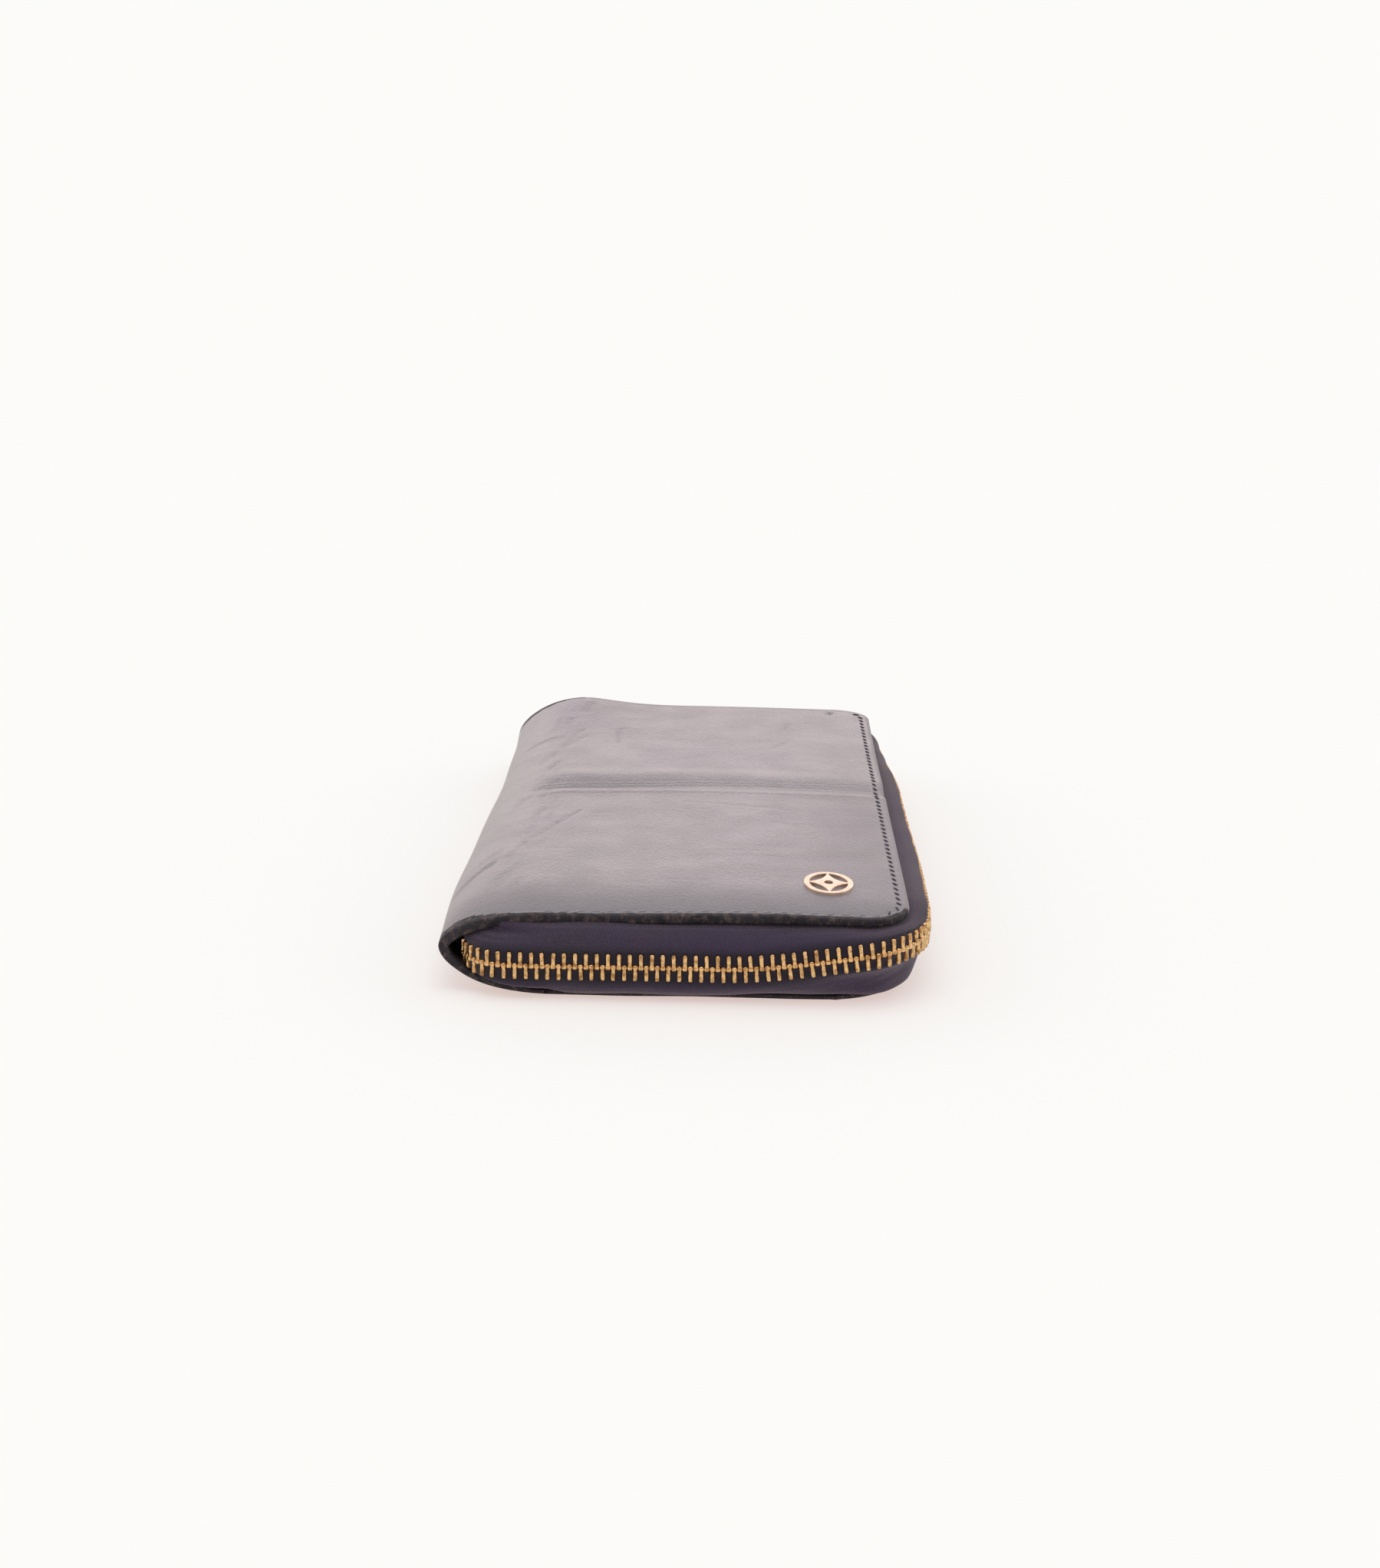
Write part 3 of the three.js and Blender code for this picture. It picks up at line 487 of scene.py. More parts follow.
def cover_seam(material, end_material):
    """The seam round the front cover's free edges. At the far end it is sunk out of sight and left out."""
    r = COVER_CORNER - SEAM_INSET
    arc = np.radians(np.linspace(0, 90, 30))
    path = [(SPINE_X - 6, -COVER_Y + SEAM_INSET)]
    path += [(CORNER_X + r * math.sin(a), -CORNER_Y - r * math.cos(a)) for a in arc]
    path += [(CORNER_X + r * math.cos(a), CORNER_Y + r * math.sin(a)) for a in arc]
    path += [(SPINE_X - 6, COVER_Y - SEAM_INSET)]
    path = np.array(path)
    s = np.concatenate([[0], np.cumsum(np.linalg.norm(np.diff(path, axis=0), axis=1))])
    sides, ends = [], []
    for at in np.arange(6.5, s[-1] - 6.5, STITCH_PITCH):
        (x, ahead_x), (y, ahead_y) = (np.interp([at, at + 0.5], s, path[:, k]) for k in (0, 1))
        heading = np.array([ahead_x - x, ahead_y - y])
        heading /= np.linalg.norm(heading)
        along, up = panel_frame(x, y, heading)
        jitter = rng.normal(0, 0.05)
        z = top_z(x, y)
        if abs(heading[0]) <= 0.8:
            sides.append(stitch((x, y, z + 0.02), along, up, 2.7, 0.19, 0.6 + jitter))
        elif y < 0:
            ends.append(stitch((x, y, z - 0.1), along, up, 2.6, 0.2, 0.2 + jitter, sink=0.14))
    make_piece("side_stitches", *merged(sides), "front", "inner_leather", material)
    make_piece("end_stitches", *merged(ends), "front", "outer_leather", end_material)


def card_stitches(body, facing, material):
    """The seam between the two columns of card slots, down the middle of each panel."""
    steps = [(np.array(v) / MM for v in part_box(f"{body}_card_strip_{k}")) for k in (1, 2, 3)]
    edges = [(lo[0], hi[0], hi[2] if facing > 0 else lo[2]) for lo, hi in steps]
    left = edges[0][0] + 2
    parts = []
    for right, z in sorted((e[1], e[2]) for e in edges):
        for x in np.arange(left, right - 1.5, 3.2):
            parts.append(stitch((x, 0, z), (1, 0, 0), (0, 0, facing), length=2.2, radius=0.14, sink=0.1))
        left = right + 1.2
    make_piece(f"{body}_card_stitches", *merged(parts), body, "inner_leather", material)


# ---------------------------------------------------------------- zip tapes
# A tape's section starts as the upright strip that the teeth clamp, bends over and ends in a sewn-in tail.
STRIP = np.linspace(0.55, CHAIN_HALF, 7)  # heights above the chain's middle line
BEND = np.linspace(0, math.pi / 2, 26)[1:]
RISE = np.concatenate([0 * STRIP, np.sin(BEND), [1, 1]])  # share of the way from the strip to the cover
STUB = 3.6  # what is left of a tape's width where its ends dive into the spine
TAPE_START, TAPE_STEP, TAPE_HALF = 0.5, 0.9, 0.28
TINY = 1e-9  # keeps points of a section that fall together from dividing by zero


def inward(reach, tail):
    """How far in from the chain the points of a section lie, as negative offsets."""
    return np.concatenate([0 * STRIP, -reach * (1 - np.cos(BEND)), tail])


def upper_section(plan, chain):
    x, y = plan.T
    top = 15.9 - 0.55 * smooth((-70 - y) / 10) + 0.2 * waves(plan, (30, 30), 21)
    start = chain + CHAIN_HALF
    z = start[:, None] + (top - start)[:, None] * RISE
    z[:, :len(STRIP)] = chain[:, None] + STRIP
    z[:, -2:] += [0.08, 0.15]
    bulge = 0.28 + 0.22 * waves(plan, (24, 24), 22)
    tucked = smooth((-26 - x) / 16) * (y < 0)
    n = inward(5.0, [-6.1, -7.1]) + bulge[:, None] * np.sin(RISE * math.pi)
    return np.stack([n - 3.4 * tucked[:, None] * bell(RISE - 0.62, 0.3), z], -1)


def lower_section(plan, chain):
    x, y = plan.T
    bottom = 0.55 + 0.95 * smooth((x + 5) / 30) + 0.12 * waves(plan, (25, 25), 23)
    start = chain - CHAIN_HALF
    z = start[:, None] - (start - bottom)[:, None] * RISE
    z[:, :len(STRIP)] = chain[:, None] - STRIP
    z[:, -2:] = [2.0, 2.4]
    bulge = 0.35 - 3.2 * bell(np.hypot(x - 47, y + 90), 17) + 0.2 * waves(plan, (22, 22), 24)
    n = inward(4.5, [-5.7, -7.1]) + bulge[:, None] * np.sin(RISE**0.8 * math.pi)
    return np.stack([n, z], -1)


def cut_path(path, share):
    """The first share of each polyline in path (stations, points, 2), resampled to as many points."""
    step = np.linalg.norm(np.diff(path, axis=1), axis=2)
    s = np.concatenate([np.zeros((len(path), 1)), np.cumsum(step, 1)], 1)
    out = np.empty_like(path)
    for i in range(len(path)):
        want = np.linspace(0, s[i, -1] * share[i], path.shape[1])
        for k in (0, 1):
            out[i, :, k] = np.interp(want, s[i], path[i, :, k])
    return out


def spine_room(x):
    """Half height of the hollow in the spine at x."""
    return (MID_Z - 2.2) * np.sqrt(np.clip(1 - ((x - SPINE_X) / (SPINE_A - 2.2)) ** 2, 0.02, 1))


def build_tape(name, section, body, material):
    s = np.arange(TAPE_START, route.length, TAPE_STEP)
    plan, _, normal = route.at(s)
    path = section(plan, chain_height(s))
    in_spine = smooth((s - 0.5) / 9) * smooth((route.length - 4 - s) / 12)
    full = np.linalg.norm(np.diff(path, axis=1), axis=2).sum(1)
    path = cut_path(path, (STUB + (full - STUB) * in_spine) / full)
    # inside the spine the tape stays within the leather
    x = plan[:, None, 0] + normal[:, None, 0] * path[..., 0]
    room = spine_room(np.minimum(x, SPINE_X)) + 2.4 * np.clip((x - SPINE_X) / 8, 0, 1)
    path[..., 1] = np.clip(path[..., 1], MID_Z - room + 0.3, MID_Z + room - 0.3)

    d = np.gradient(path, axis=1)
    d /= np.linalg.norm(d, axis=2, keepdims=True) + TINY
    off = np.stack([-d[..., 1], d[..., 0]], -1)
    half = TAPE_HALF + 0.35 * bell(np.arange(path.shape[1]), 1.6)  # thicker at the cord along its edge
    section_points = np.concatenate([path + off * half[:, None], (path - off * half[:, None])[:, ::-1]], 1)
    rings = np.empty(section_points.shape[:2] + (3,))
    rings[..., :2] = plan[:, None] + normal[:, None] * section_points[..., :1]
    rings[..., 2] = section_points[..., 1]
    verts, faces = tube(rings)
    steps = np.linalg.norm(np.diff(path, axis=1), axis=2)
    across = np.concatenate([np.zeros((len(s), 1)), np.cumsum(steps, 1)], 1)
    across = np.concatenate([across, across[:, ::-1]], 1)
    run = np.repeat(s[:, None], across.shape[1], 1)
    piece = make_piece(name, verts, faces, body, "zip_tape", material, run=run, across=across)
    fix_normals(piece)
    return piece


# ---------------------------------------------------------------- zip teeth
TEETH_START, TEETH_END = 1.6, route.length - ZIP_TURN * math.pi / 2 - 3.6


def tooth_form():
    """Rings of one tooth in (along, out, up), head down, with its middle line at up = 0."""
    levels = [  # up, half length along the zip, half depth
        (-0.62, 0.24, 0.6), (-0.54, 0.42, 0.92), (-0.32, 0.55, 1.12), (0.02, 0.57, 1.16), (0.35, 0.50, 1.04),
        (0.7, 0.43, 0.92), (1.5, 0.47, 0.96), (2.4, 0.48, 0.96), (2.78, 0.45, 0.92), (2.92, 0.37, 0.82),
    ]
    cut, out_cut = 0.24, 0.8 * 0.24
    rings = []
    for up, half, deep in levels:
        outline = [(-half, -deep + cut), (-half + cut, -deep), (half - cut, -deep), (half, -deep + cut),
                   (half, deep - cut), (half - out_cut, deep), (-half + out_cut, deep), (-half, deep - cut)]
        rings.append([(u, n, up) for u, n in outline])
    return np.array(rings)


TOOTH = tooth_form()


def teeth_row(name, side, body, material, seed):
    """One row of separate teeth along the chain; side is 1 for the upper row and -1 for the lower."""
    r = np.random.default_rng(seed)
    phase = 0 if side > 0 else PITCH / 2
    s = np.arange(math.ceil((TEETH_START - phase) / PITCH) * PITCH + phase, TEETH_END, PITCH)
    plan, tangent, normal = route.at(s)
    centres = np.concatenate([plan, chain_height(s)[:, None]], 1)
    slope = (chain_height(s + 1.5) - chain_height(s - 1.5)) / 3
    along = np.concatenate([tangent, slope[:, None]], 1)
    along /= np.linalg.norm(along, axis=1, keepdims=True)
    out = np.concatenate([normal, np.zeros((len(s), 1))], 1)
    up = np.cross(out, along)
    up *= np.sign(up[:, 2:])
    form = TOOTH * [1, 1, side]
    if side < 0:
        form = form[:, ::-1]
    parts = []
    for centre, axes in zip(centres, np.stack([along, out, up], 1)):
        lean = r.normal(0, 0.022)
        cos, sin = math.cos(lean), math.sin(lean)
        tilt = np.array([[cos, 0, -sin], [0, 1, 0], [sin, 0, cos]])
        parts.append(tube(centre + form @ tilt @ axes))
    piece = make_piece(name, *merged(parts), body, "gold_metal", material)
    fix_normals(piece)
    return piece


# ---------------------------------------------------------------- spine lining and gussets
def build_spine_lining(material):
    """The lining that goes round inside the spine, from the back cover's inside to the front's."""
    reach = SPINE_A - 2.0
    low, high, half_length, thick = 2.45, 16.15, 84.3, 0.4
    angle = np.linspace(-math.pi / 2, -1.5 * math.pi, 40)
    Y, A = np.meshgrid(np.linspace(-half_length, half_length, 120), angle, indexing="ij")
    slack = 0.35 * waves(np.stack([Y, A * 10], -1), (26, 22), 41)
    out = np.stack([np.cos(A), 0 * A, np.sin(A)], -1)
    centre = np.stack([SPINE_X + 0 * A, Y, (high + low) / 2 + 0 * A], -1)
    inset = 0.5 + slack * np.sin(A - math.pi / 2) ** 2
    skin = centre + out * np.array([reach, 1, (high - low) / 2]) - out * inset[..., None]
    inner = skin - out * thick
    verts, faces = tube(np.concatenate([skin, inner[:, ::-1]], 1))
    piece = make_piece("spine_lining_sheet", verts, faces, slot="lining", material=material)
    fix_normals(piece)
    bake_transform(piece)
    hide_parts("spine_lining")


def build_gusset(name, node, end, outer_z, inner_z, material):
    """A leather V between two panels at one short end: open at the end, folded on the inside."""
    lo, hi = (np.array(v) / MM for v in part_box(node))
    fold_y, open_y = sorted((abs(lo[1]), abs(hi[1])))
    fold_y += 0.3
    thick = 0.3
    t = np.linspace(-1, 1, 41)
    middle, spread = (outer_z + inner_z) / 2, (inner_z - outer_z) / 2
    path = np.stack([fold_y + (open_y - fold_y) * np.abs(t), middle + spread * t], -1)
    d = np.gradient(path, axis=0)
    d /= np.linalg.norm(d, axis=1, keepdims=True)
    off = np.stack([-d[:, 1], d[:, 0]], 1) * thick / 2
    ring = np.concatenate([path + off, (path - off)[::-1]])
    x = np.linspace(lo[0], hi[0], 24)
    rings = np.empty((len(x), len(ring), 3))
    rings[..., 0] = x[:, None]
    rings[..., 1] = ring[:, 0] * end
    rings[..., 2] = ring[:, 1]
    verts, faces = tube(rings)
    piece = make_piece(name, verts, faces, slot="inner_leather", material=material)
    fix_normals(piece)
    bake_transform(piece)
    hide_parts(node)


# ---------------------------------------------------------------- emblem
def flat_solid(outlines, thick):
    """A thin slab with slightly rounded edges; an outline inside another cuts a hole."""
    curve = bpy.data.curves.new("emblem_outline", "CURVE")
    curve.dimensions = "2D"
    curve.fill_mode = "BOTH"
    for points in outlines:
        spline = curve.splines.new("POLY")
        spline.points.add(len(points) - 1)
        for p, (x, y) in zip(spline.points, points):
            p.co = (x * MM, y * MM, 0, 1)
        spline.use_cyclic_u = True
    curve.extrude = thick / 2 * MM
    curve.bevel_depth = 0.1 * MM
    curve.bevel_resolution = 1
    holder = bpy.data.objects.new("emblem_outline", curve)
    bpy.context.scene.collection.objects.link(holder)
    mesh = bpy.data.meshes.new_from_object(holder.evaluated_get(bpy.context.evaluated_depsgraph_get()))
    bpy.data.objects.remove(holder)
    return np.array([v.co for v in mesh.vertices]) / MM, [list(p.vertices) for p in mesh.polygons]


def build_emblem(material):
    """A pierced oval with a four-pointed star, following the leather under it."""
    cx, cy, a, b, thick = 30.2, -72.2, 5.3, 7.2, 0.55
    band, tip_gap = 1.0, 0.6
    t = np.linspace(0, 2 * math.pi, 72, endpoint=False)
    oval = np.stack([a * np.cos(t), b * np.sin(t)], 1)
    ring = flat_solid([oval, oval * [(a - band) / a, (b - band) / b]], thick)
    star, along = [], np.linspace(0, 1, 14, endpoint=False)
    tips = np.array([(0, -b + tip_gap), (a - tip_gap, 0), (0, b - tip_gap), (-a + tip_gap, 0)])
    for p, q in zip(tips, np.roll(tips, -1, 0)):
        waist = (p + q) * 0.17
        star += [(1 - u) ** 2 * p + 2 * u * (1 - u) * waist + u * u * q for u in along]
    eye = np.stack([1.05 * np.cos(t[::4]), 1.4 * np.sin(t[::4])], 1)
    verts, faces = merged([ring, flat_solid([star, eye], thick)])
    verts = verts + [cx, cy, 0]
    verts[:, 2] += top_z(verts[:, 0], verts[:, 1]) + thick / 2 - 0.05
    piece = make_piece("emblem_star", verts, faces, "front", "pale_gold_metal", material, smooth_shade=False)
    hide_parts("emblem")


# ---------------------------------------------------------------- node trees
class Nodes:
    """Short ways to build a node tree. A value is a number, a colour or another node's output."""

    def __init__(self, tree):
        self.nodes, self.links = tree.nodes, tree.links

    def set(self, node, key, value):
        socket = node.inputs[key]
        if hasattr(value, "is_linked"):
            self.links.new(value, socket)
        else:
            socket.default_value = (*value, 1) if socket.type == "RGBA" else value

    def add(self, kind, inputs=None, **settings):
        node = self.nodes.new("ShaderNode" + kind)
        for key, value in settings.items():
            setattr(node, key, value)
        for key, value in (inputs or {}).items():
            self.set(node, key, value)
        return node

    def math(self, operation, a, b=0.0):
        return self.add("Math", {0: a, 1: b}, operation=operation).outputs[0]

    def step(self, value, low, high):
        """Soft step from 0 at low to 1 at high."""
        inputs = {"Value": value, "From Min": low, "From Max": high}
        return self.add("MapRange", inputs, interpolation_type="SMOOTHSTEP").outputs["Result"]

    def ramp(self, value, *stops):
        node = self.add("ValToRGB", {"Fac": value})
        while len(node.color_ramp.elements) < len(stops):
            node.color_ramp.elements.new(0.5)
        for element, (place, colour) in zip(node.color_ramp.elements, stops):
            element.position = place
            element.color = (*colour, 1) if isinstance(colour, tuple) else (colour, colour, colour, 1)
        return node.outputs["Color"]

    def mix(self, share, a, b, mode="MIX"):
        node = self.add("Mix", data_type="RGBA", blend_type=mode)
        for key, value in ((0, share), (6, a), (7, b)):
            self.set(node, key, value)
        return node.outputs[2]


class Surface(Nodes):
    """A material round one Principled shader, with its textures fixed to the piece in millimetres."""

    def __init__(self, name, coords="rest"):
        self.material = bpy.data.materials.new(name)
        self.material.use_nodes = True
        super().__init__(self.material.node_tree)
        if coords == "rest":
            self.place = self.add("Attribute", attribute_name="rest").outputs["Vector"]
        else:
            place = self.add("TexCoord").outputs["Object"]
            self.place = self.add("VectorMath", {0: place, "Scale": 1 / MM}, operation="SCALE").outputs[0]

    def attribute(self, name):
        return self.add("Attribute", attribute_name=name).outputs["Fac"]

    def mapped(self, scale):
        return self.add("Mapping", {"Vector": self.place, "Scale": scale}).outputs["Vector"]

    def noise(self, scale, detail=3.0, rough=0.5, size=(1, 1, 1), distortion=0.0):
        inputs = {"Vector": self.mapped(size), "Scale": scale, "Detail": detail, "Roughness": rough,
                  "Distortion": distortion}
        return self.add("TexNoise", inputs).outputs["Fac"]

    def cells(self, scale, size):
        """Distance from the middle of rounded pebbles, as leather grain has."""
        node = self.add("TexVoronoi", feature="SMOOTH_F1")
        for key, value in (("Vector", self.mapped(size)), ("Scale", scale), ("Smoothness", 0.6)):
            self.set(node, key, value)
        return node.outputs["Distance"]

    def wave(self, turns):
        return self.math("SINE", self.math("MULTIPLY", turns, 2 * math.pi))

    def bump(self, height, strength, distance, normal=None):
        inputs = {"Strength": strength, "Distance": distance * MM, "Height": height}
        if normal is not None:
            inputs["Normal"] = normal
        return self.add("Bump", inputs).outputs["Normal"]

    def finish(self, **inputs):
        """Fill the shader's inputs, with underscores for the spaces in their names."""
        for key, value in inputs.items():
            self.set(self.nodes["Principled BSDF"], key.replace("_", " "), value)
        return self.material


# ---------------------------------------------------------------- materials
def outer_leather():
    """Navy leather: clouded and banded, pebbled with painted shade in the grain's valleys, rougher and
    painted darker as shade where it droops, dark on its rim for the edge paint, and painted darker as shade
    in its folds.
    """
    g = Surface("outer_leather")
    droop, folds = g.attribute("droop"), g.attribute("folds")
    clouds = g.noise(0.028, 4, 0.6, (0.8, 1.2, 1))
    colour = g.ramp(clouds, (0.34, (0.038, 0.042, 0.050)), (0.5, (0.064, 0.056, 0.076)),
                    (0.64, (0.090, 0.072, 0.125)))
    bands = g.noise(1.0, 2, 0.5, (0.012, 0.16, 0.1))
    colour = g.mix(0.4, colour, g.ramp(bands, (0.38, (0.038, 0.037, 0.048)), (0.62, (0.115, 0.10, 0.105))))
    # painted shade where the panel droops; on the rim the same darkening stands for its dark edge paint
    colour = g.mix(droop, colour, (0.018, 0.022, 0.036))
    pebbles = g.cells(1.0, (1.6, 1.0, 1.4))
    # painted shade: the colour is darkened toward the valleys between the pebbles
    colour = g.mix(1.0, colour, g.ramp(pebbles, (0.25, 1.0), (0.62, 0.5)), "MULTIPLY")
    # painted shade in the creases and wrinkles
    colour = g.mix(folds, colour, (0.012, 0.012, 0.018))
    rough = g.ramp(g.noise(0.09, 4, 0.6), (0.3, 0.33), (0.7, 0.43))
    rough = g.math("ADD", rough, g.math("MULTIPLY", droop, 0.24))
    rough = g.math("ADD", rough, g.math("MULTIPLY", folds, 0.2))
    normal = g.bump(g.noise(0.3, 3, 0.55, (0.5, 0.8, 0.8)), 0.2, 0.2)
    normal = g.bump(g.noise(1.0, 3, 0.55, (0.65, 1.5, 1.5), 0.5), 0.5, 0.08, normal)
    normal = g.bump(g.math("MULTIPLY", pebbles, -1.0), 0.9, 0.10, normal)
    return g.finish(Base_Color=colour, Roughness=rough, Normal=normal, IOR=2.0, Specular_IOR_Level=1.0,
                    Sheen_Weight=0.3, Sheen_Roughness=0.45, Sheen_Tint=(1.0, 0.82, 0.80))


def worn_edge_and_shade():
    """Brown-black rubbed leather and chipped edge paint, also laid on the leather sheet's inner face as
    painted shade.
    """
    g = Surface("worn_edge_and_shade")
    patches = g.ramp(g.noise(0.6, 6, 0.78, (1, 0.6, 1)), (0.5, 0.0), (0.66, 1.0))
    dark = g.ramp(g.noise(0.12, 3, 0.6), (0.35, (0.009, 0.008, 0.012)), (0.65, (0.030, 0.024, 0.030)))
    return g.finish(Base_Color=g.mix(patches, dark, (0.115, 0.082, 0.066)), Specular_IOR_Level=0.3,
                    Roughness=g.ramp(g.noise(0.6, 4, 0.6), (0.3, 0.42), (0.7, 0.72)),
                    Normal=g.bump(g.noise(1.3, 6, 0.75), 0.8, 0.35))


def zip_tape():
    """Dark herringbone: diagonal ribs whose slope turns at every band across the tape."""
    g = Surface("zip_tape")
    run, across = g.attribute("run"), g.attribute("across")
    ribs, band = 1.7, 1.1  # ribs to the millimetre, width of a band
    zigzag = g.math("PINGPONG", across, band)
    phase = g.math("ADD", g.math("MULTIPLY", run, ribs), g.math("MULTIPLY", zigzag, ribs))
    thread = g.wave(g.math("SUBTRACT", g.math("MULTIPLY", across, 2.2), phase))
    weave = g.math("ADD", g.math("MULTIPLY", g.wave(phase), 0.6), g.math("MULTIPLY", thread, 0.4))
    weave = g.math("ADD", g.math("MULTIPLY", weave, 0.5), 0.5)
    fuzz = g.noise(1.7, 4, 0.7)
    colour = g.ramp(weave, (0.15, (0.006, 0.004, 0.010)), (0.9, (0.066, 0.044, 0.088)))
    colour = g.mix(g.ramp(fuzz, (0.45, 0.0), (0.75, 0.5)), colour, (0.075, 0.058, 0.068))
    # the long side is painted lighter as the glare it catches facing up, patches are more purple, and the
    # strip under the teeth is darkened as their painted shade
    long_side_glare = g.ramp(g.math("MULTIPLY", run, 0.005), (0.42, 0.0), (0.62, 0.45))
    colour = g.mix(long_side_glare, colour, (0.105, 0.085, 0.082))
    tint = g.ramp(g.noise(0.03, 3, 0.5), (0.42, 0.0), (0.6, 0.5))
    colour = g.mix(tint, colour, g.mix(weave, (0.010, 0.005, 0.020), (0.060, 0.036, 0.100)))
    shade = g.ramp(g.math("MULTIPLY", across, 0.1), (0.22, 0.35), (0.42, 1.0))
    return g.finish(Base_Color=g.mix(1.0, colour, shade, "MULTIPLY"), Roughness=0.85,
                    Normal=g.bump(fuzz, 0.4, 0.12, g.bump(weave, 0.8, 0.16)),
                    Sheen_Weight=0.55, Sheen_Roughness=0.35, Sheen_Tint=(0.55, 0.48, 0.5))


def metal(name, colour, dark, roughness, coords="rest", wear=0.5, dent=0.12):
    g = Surface(name, coords)
    worn = g.ramp(g.noise(0.8, 5, 0.7), (0.44, 0.0), (0.62, wear))
    rough = g.ramp(g.noise(1.4, 3, 0.6), (0.3, roughness), (0.75, roughness + 0.16))
    return g.finish(Base_Color=g.mix(worn, colour, dark), Roughness=rough, Metallic=1.0,
                    Normal=g.bump(g.noise(1.7, 3, 0.6), 0.6, dent))


def soft(name, colours, roughness, coords="rest", grain=1.6, depth=0.06, sheen=0.0):
    g = Surface(name, coords)
    patches = g.ramp(g.noise(0.12, 4, 0.6), (0.35, 0.0), (0.7, 1.0))
    rough = g.ramp(g.noise(0.3, 3), (0.3, roughness - 0.06), (0.7, roughness + 0.06))
    return g.finish(Base_Color=g.mix(patches, *colours), Roughness=rough, Sheen_Weight=sheen,
                    Normal=g.bump(g.noise(grain, 4, 0.65), 0.4, depth))


NAVY = ((0.020, 0.021, 0.036), (0.034, 0.032, 0.05))
BLACK_CLOTH = ((0.018, 0.016, 0.024), (0.03, 0.026, 0.036))
LEATHER = outer_leather()
WORN_EDGE_AND_SHADE = worn_edge_and_shade()
TAPE = zip_tape()
BRASS = metal("brass", (0.80, 0.52, 0.24), (0.30, 0.14, 0.05), 0.15, wear=0.95)
CAD_BRASS = metal("cad_brass", (0.78, 0.50, 0.21), (0.42, 0.22, 0.08), 0.22, "object", dent=0.03)
PALE_GOLD = metal("pale_gold", (0.82, 0.65, 0.50), (0.55, 0.38, 0.26), 0.26, dent=0.04)
INNER = soft("inner_leather", NAVY, 0.5)
CAD_INNER = soft("cad_inner_leather", NAVY, 0.5, "object")
LINING = soft("lining", BLACK_CLOTH, 0.85, "rest", 3.0, 0.1, 0.3)
CAD_LINING = soft("cad_lining", BLACK_CLOTH, 0.85, "object", 3.0, 0.1, 0.3)
CAD_BOARD = soft("cad_board", ((0.22, 0.16, 0.1), (0.3, 0.22, 0.14)), 0.85, "object")
CAD_TAPE = soft("cad_tape", ((0.018, 0.012, 0.024), (0.035, 0.024, 0.045)), 0.85, "object", 3.0, 0.12, 0.4)
THREAD = soft("thread", ((0.012, 0.012, 0.02), (0.022, 0.022, 0.034)), 0.6, grain=4.0)
SLOT_MATERIALS = {"outer_leather": CAD_INNER, "inner_leather": CAD_INNER, "lining": CAD_LINING,
                  "leatherboard": CAD_BOARD, "zip_tape": CAD_TAPE, "gold_metal": CAD_BRASS,
                  "pale_gold_metal": CAD_BRASS}


def dress_cad_nodes():
    """Give every CAD node its slot's material, and the plainer ones slightly rounded edges."""
    for entry in frame["record"]["subparts"]:
        node = frame["nodes"][entry["node"]]
        node.data.materials.clear()
        node.data.materials.append(SLOT_MATERIALS[entry["material_slot"]])
        if len(node.data.vertices) < 1500:
            bevel = node.modifiers.new("soft_edges", "BEVEL")
            bevel.width = 0.12 * MM
            bevel.segments = 2
            bevel.limit_method = "ANGLE"
            bevel.angle_limit = math.radians(40)


# ---------------------------------------------------------------- stage, light and camera
BACKDROP = (0.974, 0.966, 0.948)
SKY = [  # height of the direction looked in, colour there
    (0.0, BACKDROP), (0.09, BACKDROP), (0.17, (1.9, 1.70, 1.68)), (0.33, (1.9, 1.69, 1.70)),
    (0.5, (0.95, 0.88, 0.93)), (0.7, (0.62, 0.60, 0.66)), (0.88, (0.9, 0.88, 0.9)), (1.0, (2.6, 2.55, 2.5)),
]
BRIGHTEST = 2.6
FRONT_SHARE = 0.5  # the studio's light from the near side, as a share of the light from behind
FLOOR_ALBEDO = (0.34, 0.49, 0.50)
FLOOR_HALF, FADE_START, FADE_END = 3.0, 0.35, 1.1  # metres
YAW, PITCH_DOWN, ROLL = math.radians(0.861), math.radians(15.306), math.radians(1.234)


def floor_glow():
    """What the floor has to give off so that, lit by the sky, it is the backdrop's tone."""
    heights = np.linspace(0, 1, 2001)
    glow = []
    for k in range(3):
        level = np.interp(heights, [z for z, _ in SKY], [c[k] for _, c in SKY])
        high = smooth((heights - 0.09) / 0.1) * (1 - smooth((heights - 0.6) / 0.3))
        level = level * (1 - high * (1 - FRONT_SHARE) / 2)
        glow.append(BACKDROP[k] - FLOOR_ALBEDO[k] * 2 * np.trapz(heights * level, heights))
    return glow


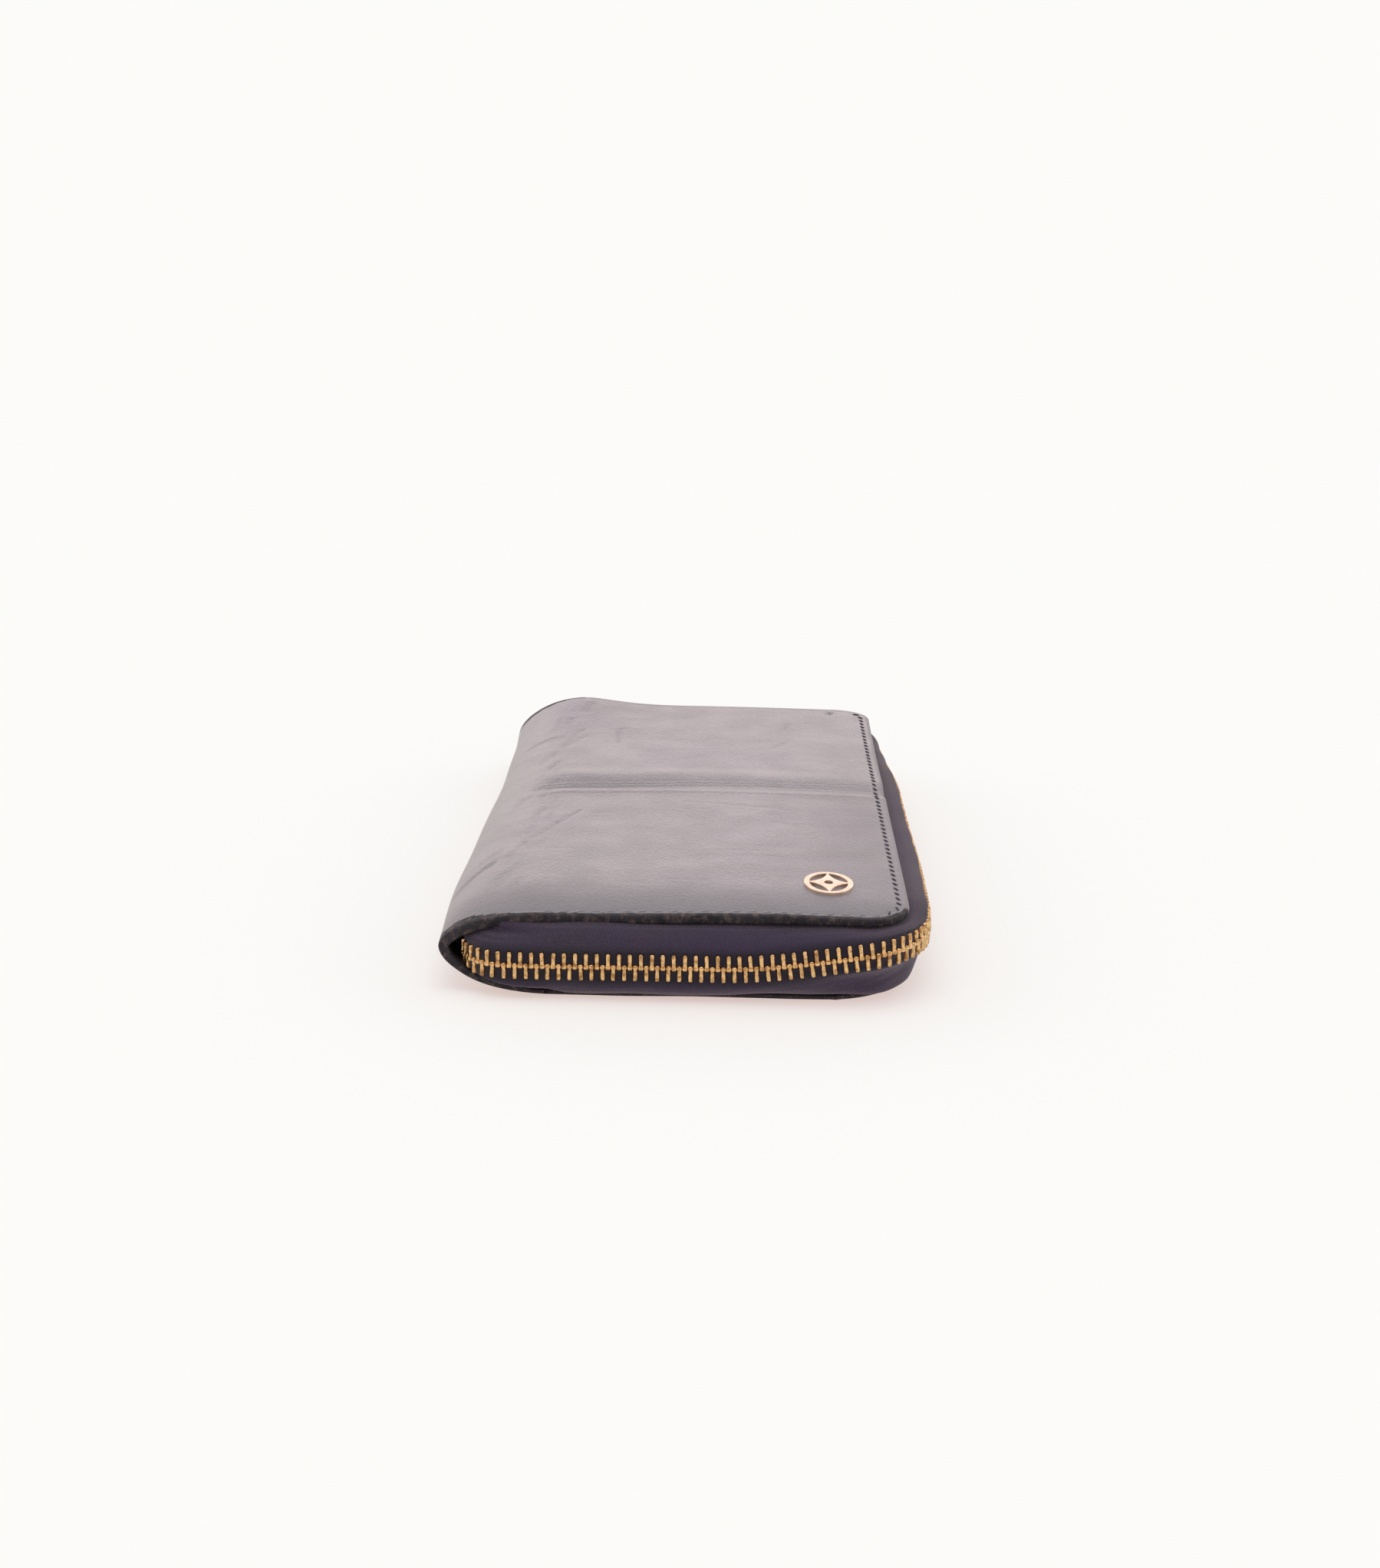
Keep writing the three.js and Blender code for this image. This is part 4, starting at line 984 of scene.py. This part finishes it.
def set_floor():
    """A pale floor that fades into the studio's own tone, so no edge or horizon shows."""
    h = FLOOR_HALF
    mesh = bpy.data.meshes.new("floor")
    mesh.from_pydata([(-h, -h, 0), (h, -h, 0), (h, h, 0), (-h, h, 0)], [], [(0, 1, 2, 3)])
    floor = bpy.data.objects.new("floor", mesh)
    bpy.context.scene.collection.objects.link(floor)
    g = Surface("floor_white")
    g.finish(Base_Color=FLOOR_ALBEDO, Roughness=1.0, Specular_IOR_Level=0.0, Emission_Color=floor_glow(),
             Emission_Strength=1.0)
    place = g.add("NewGeometry").outputs["Position"]
    fade = g.step(g.add("VectorMath", {0: place}, operation="LENGTH").outputs["Value"], FADE_START, FADE_END)
    solid, clear = g.nodes["Principled BSDF"].outputs[0], g.add("BsdfTransparent").outputs[0]
    long_side_glare = g.add("MixShader", {0: fade, 1: solid, 2: clear}).outputs[0]
    g.set(g.nodes["Material Output"], "Surface", long_side_glare)
    mesh.materials.append(g.material)


def set_world():
    """A plain studio: one tone all round at eye level, dimmer higher up, and a broad soft light overhead."""
    world = bpy.data.worlds.new("studio")
    bpy.context.scene.world = world
    world.use_nodes = True
    g = Nodes(world.node_tree)
    direction = g.add("SeparateXYZ", {0: g.add("TexCoord").outputs["Generated"]}).outputs
    sky = g.ramp(direction["Z"], *((height, tuple(c / BRIGHTEST for c in colour)) for height, colour in SKY))
    front = g.math("MULTIPLY", g.step(direction["Y"], 0.35, -0.35), g.step(direction["Z"], 0.09, 0.19))
    front = g.math("MULTIPLY", front, g.step(direction["Z"], 0.9, 0.6))
    background = g.nodes["Background"]
    g.set(background, "Color", g.mix(g.math("MULTIPLY", front, 1 - FRONT_SHARE), sky, (0, 0, 0)))
    g.set(background, "Strength", BRIGHTEST)


def set_camera():
    scene = bpy.context.scene
    data = bpy.data.cameras.new("camera")
    data.sensor_fit = "VERTICAL"
    data.sensor_height = 36
    data.lens = 53.46
    data.clip_start = 0.01
    camera = bpy.data.objects.new("camera", data)
    scene.collection.objects.link(camera)
    camera.location = Vector((6.83, -556.1, 173.4)) * MM
    turn = Matrix.Rotation(YAW, 3, "Z") @ Matrix.Rotation(math.pi / 2 - PITCH_DOWN, 3, "X")
    camera.rotation_euler = (turn @ Matrix.Rotation(ROLL, 3, "Z")).to_euler()
    scene.camera = camera
    scene.view_settings.view_transform = "Standard"
    scene.view_settings.look = "None"


# ---------------------------------------------------------------- assembly
dress_cad_nodes()
build_wrap(LEATHER, WORN_EDGE_AND_SHADE)
cover_seam(THREAD, LEATHER)

upper_tape = build_tape("upper_tape", upper_section, "front", TAPE)
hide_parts("upper_zip_tape")
lower_tape = build_tape("lower_tape", lower_section, "back", TAPE)
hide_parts("lower_zip_tape")
upper_teeth = teeth_row("upper_teeth", 1, "front", BRASS, 11)
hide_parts("upper_zip_teeth", "upper_far_teeth")
lower_teeth = teeth_row("lower_teeth", -1, "back", BRASS, 12)
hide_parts("lower_zip_teeth", "lower_far_teeth")

build_spine_lining(LINING)
for end, place in ((-1, "near"), (1, "far")):
    build_gusset(f"{place}_lower_fold", f"{place}_lower_gusset", end, 5.4, 6.4,
                 INNER)
    # the pocket turns half as far as the front; this fold is built as one fixed piece
    build_gusset(f"{place}_upper_fold", f"{place}_upper_gusset", end, 12.2, 13.2,
                 INNER)
card_stitches("back", 1, THREAD)
card_stitches("front", -1, THREAD)
build_emblem(PALE_GOLD)

set_floor()
set_world()
set_camera()
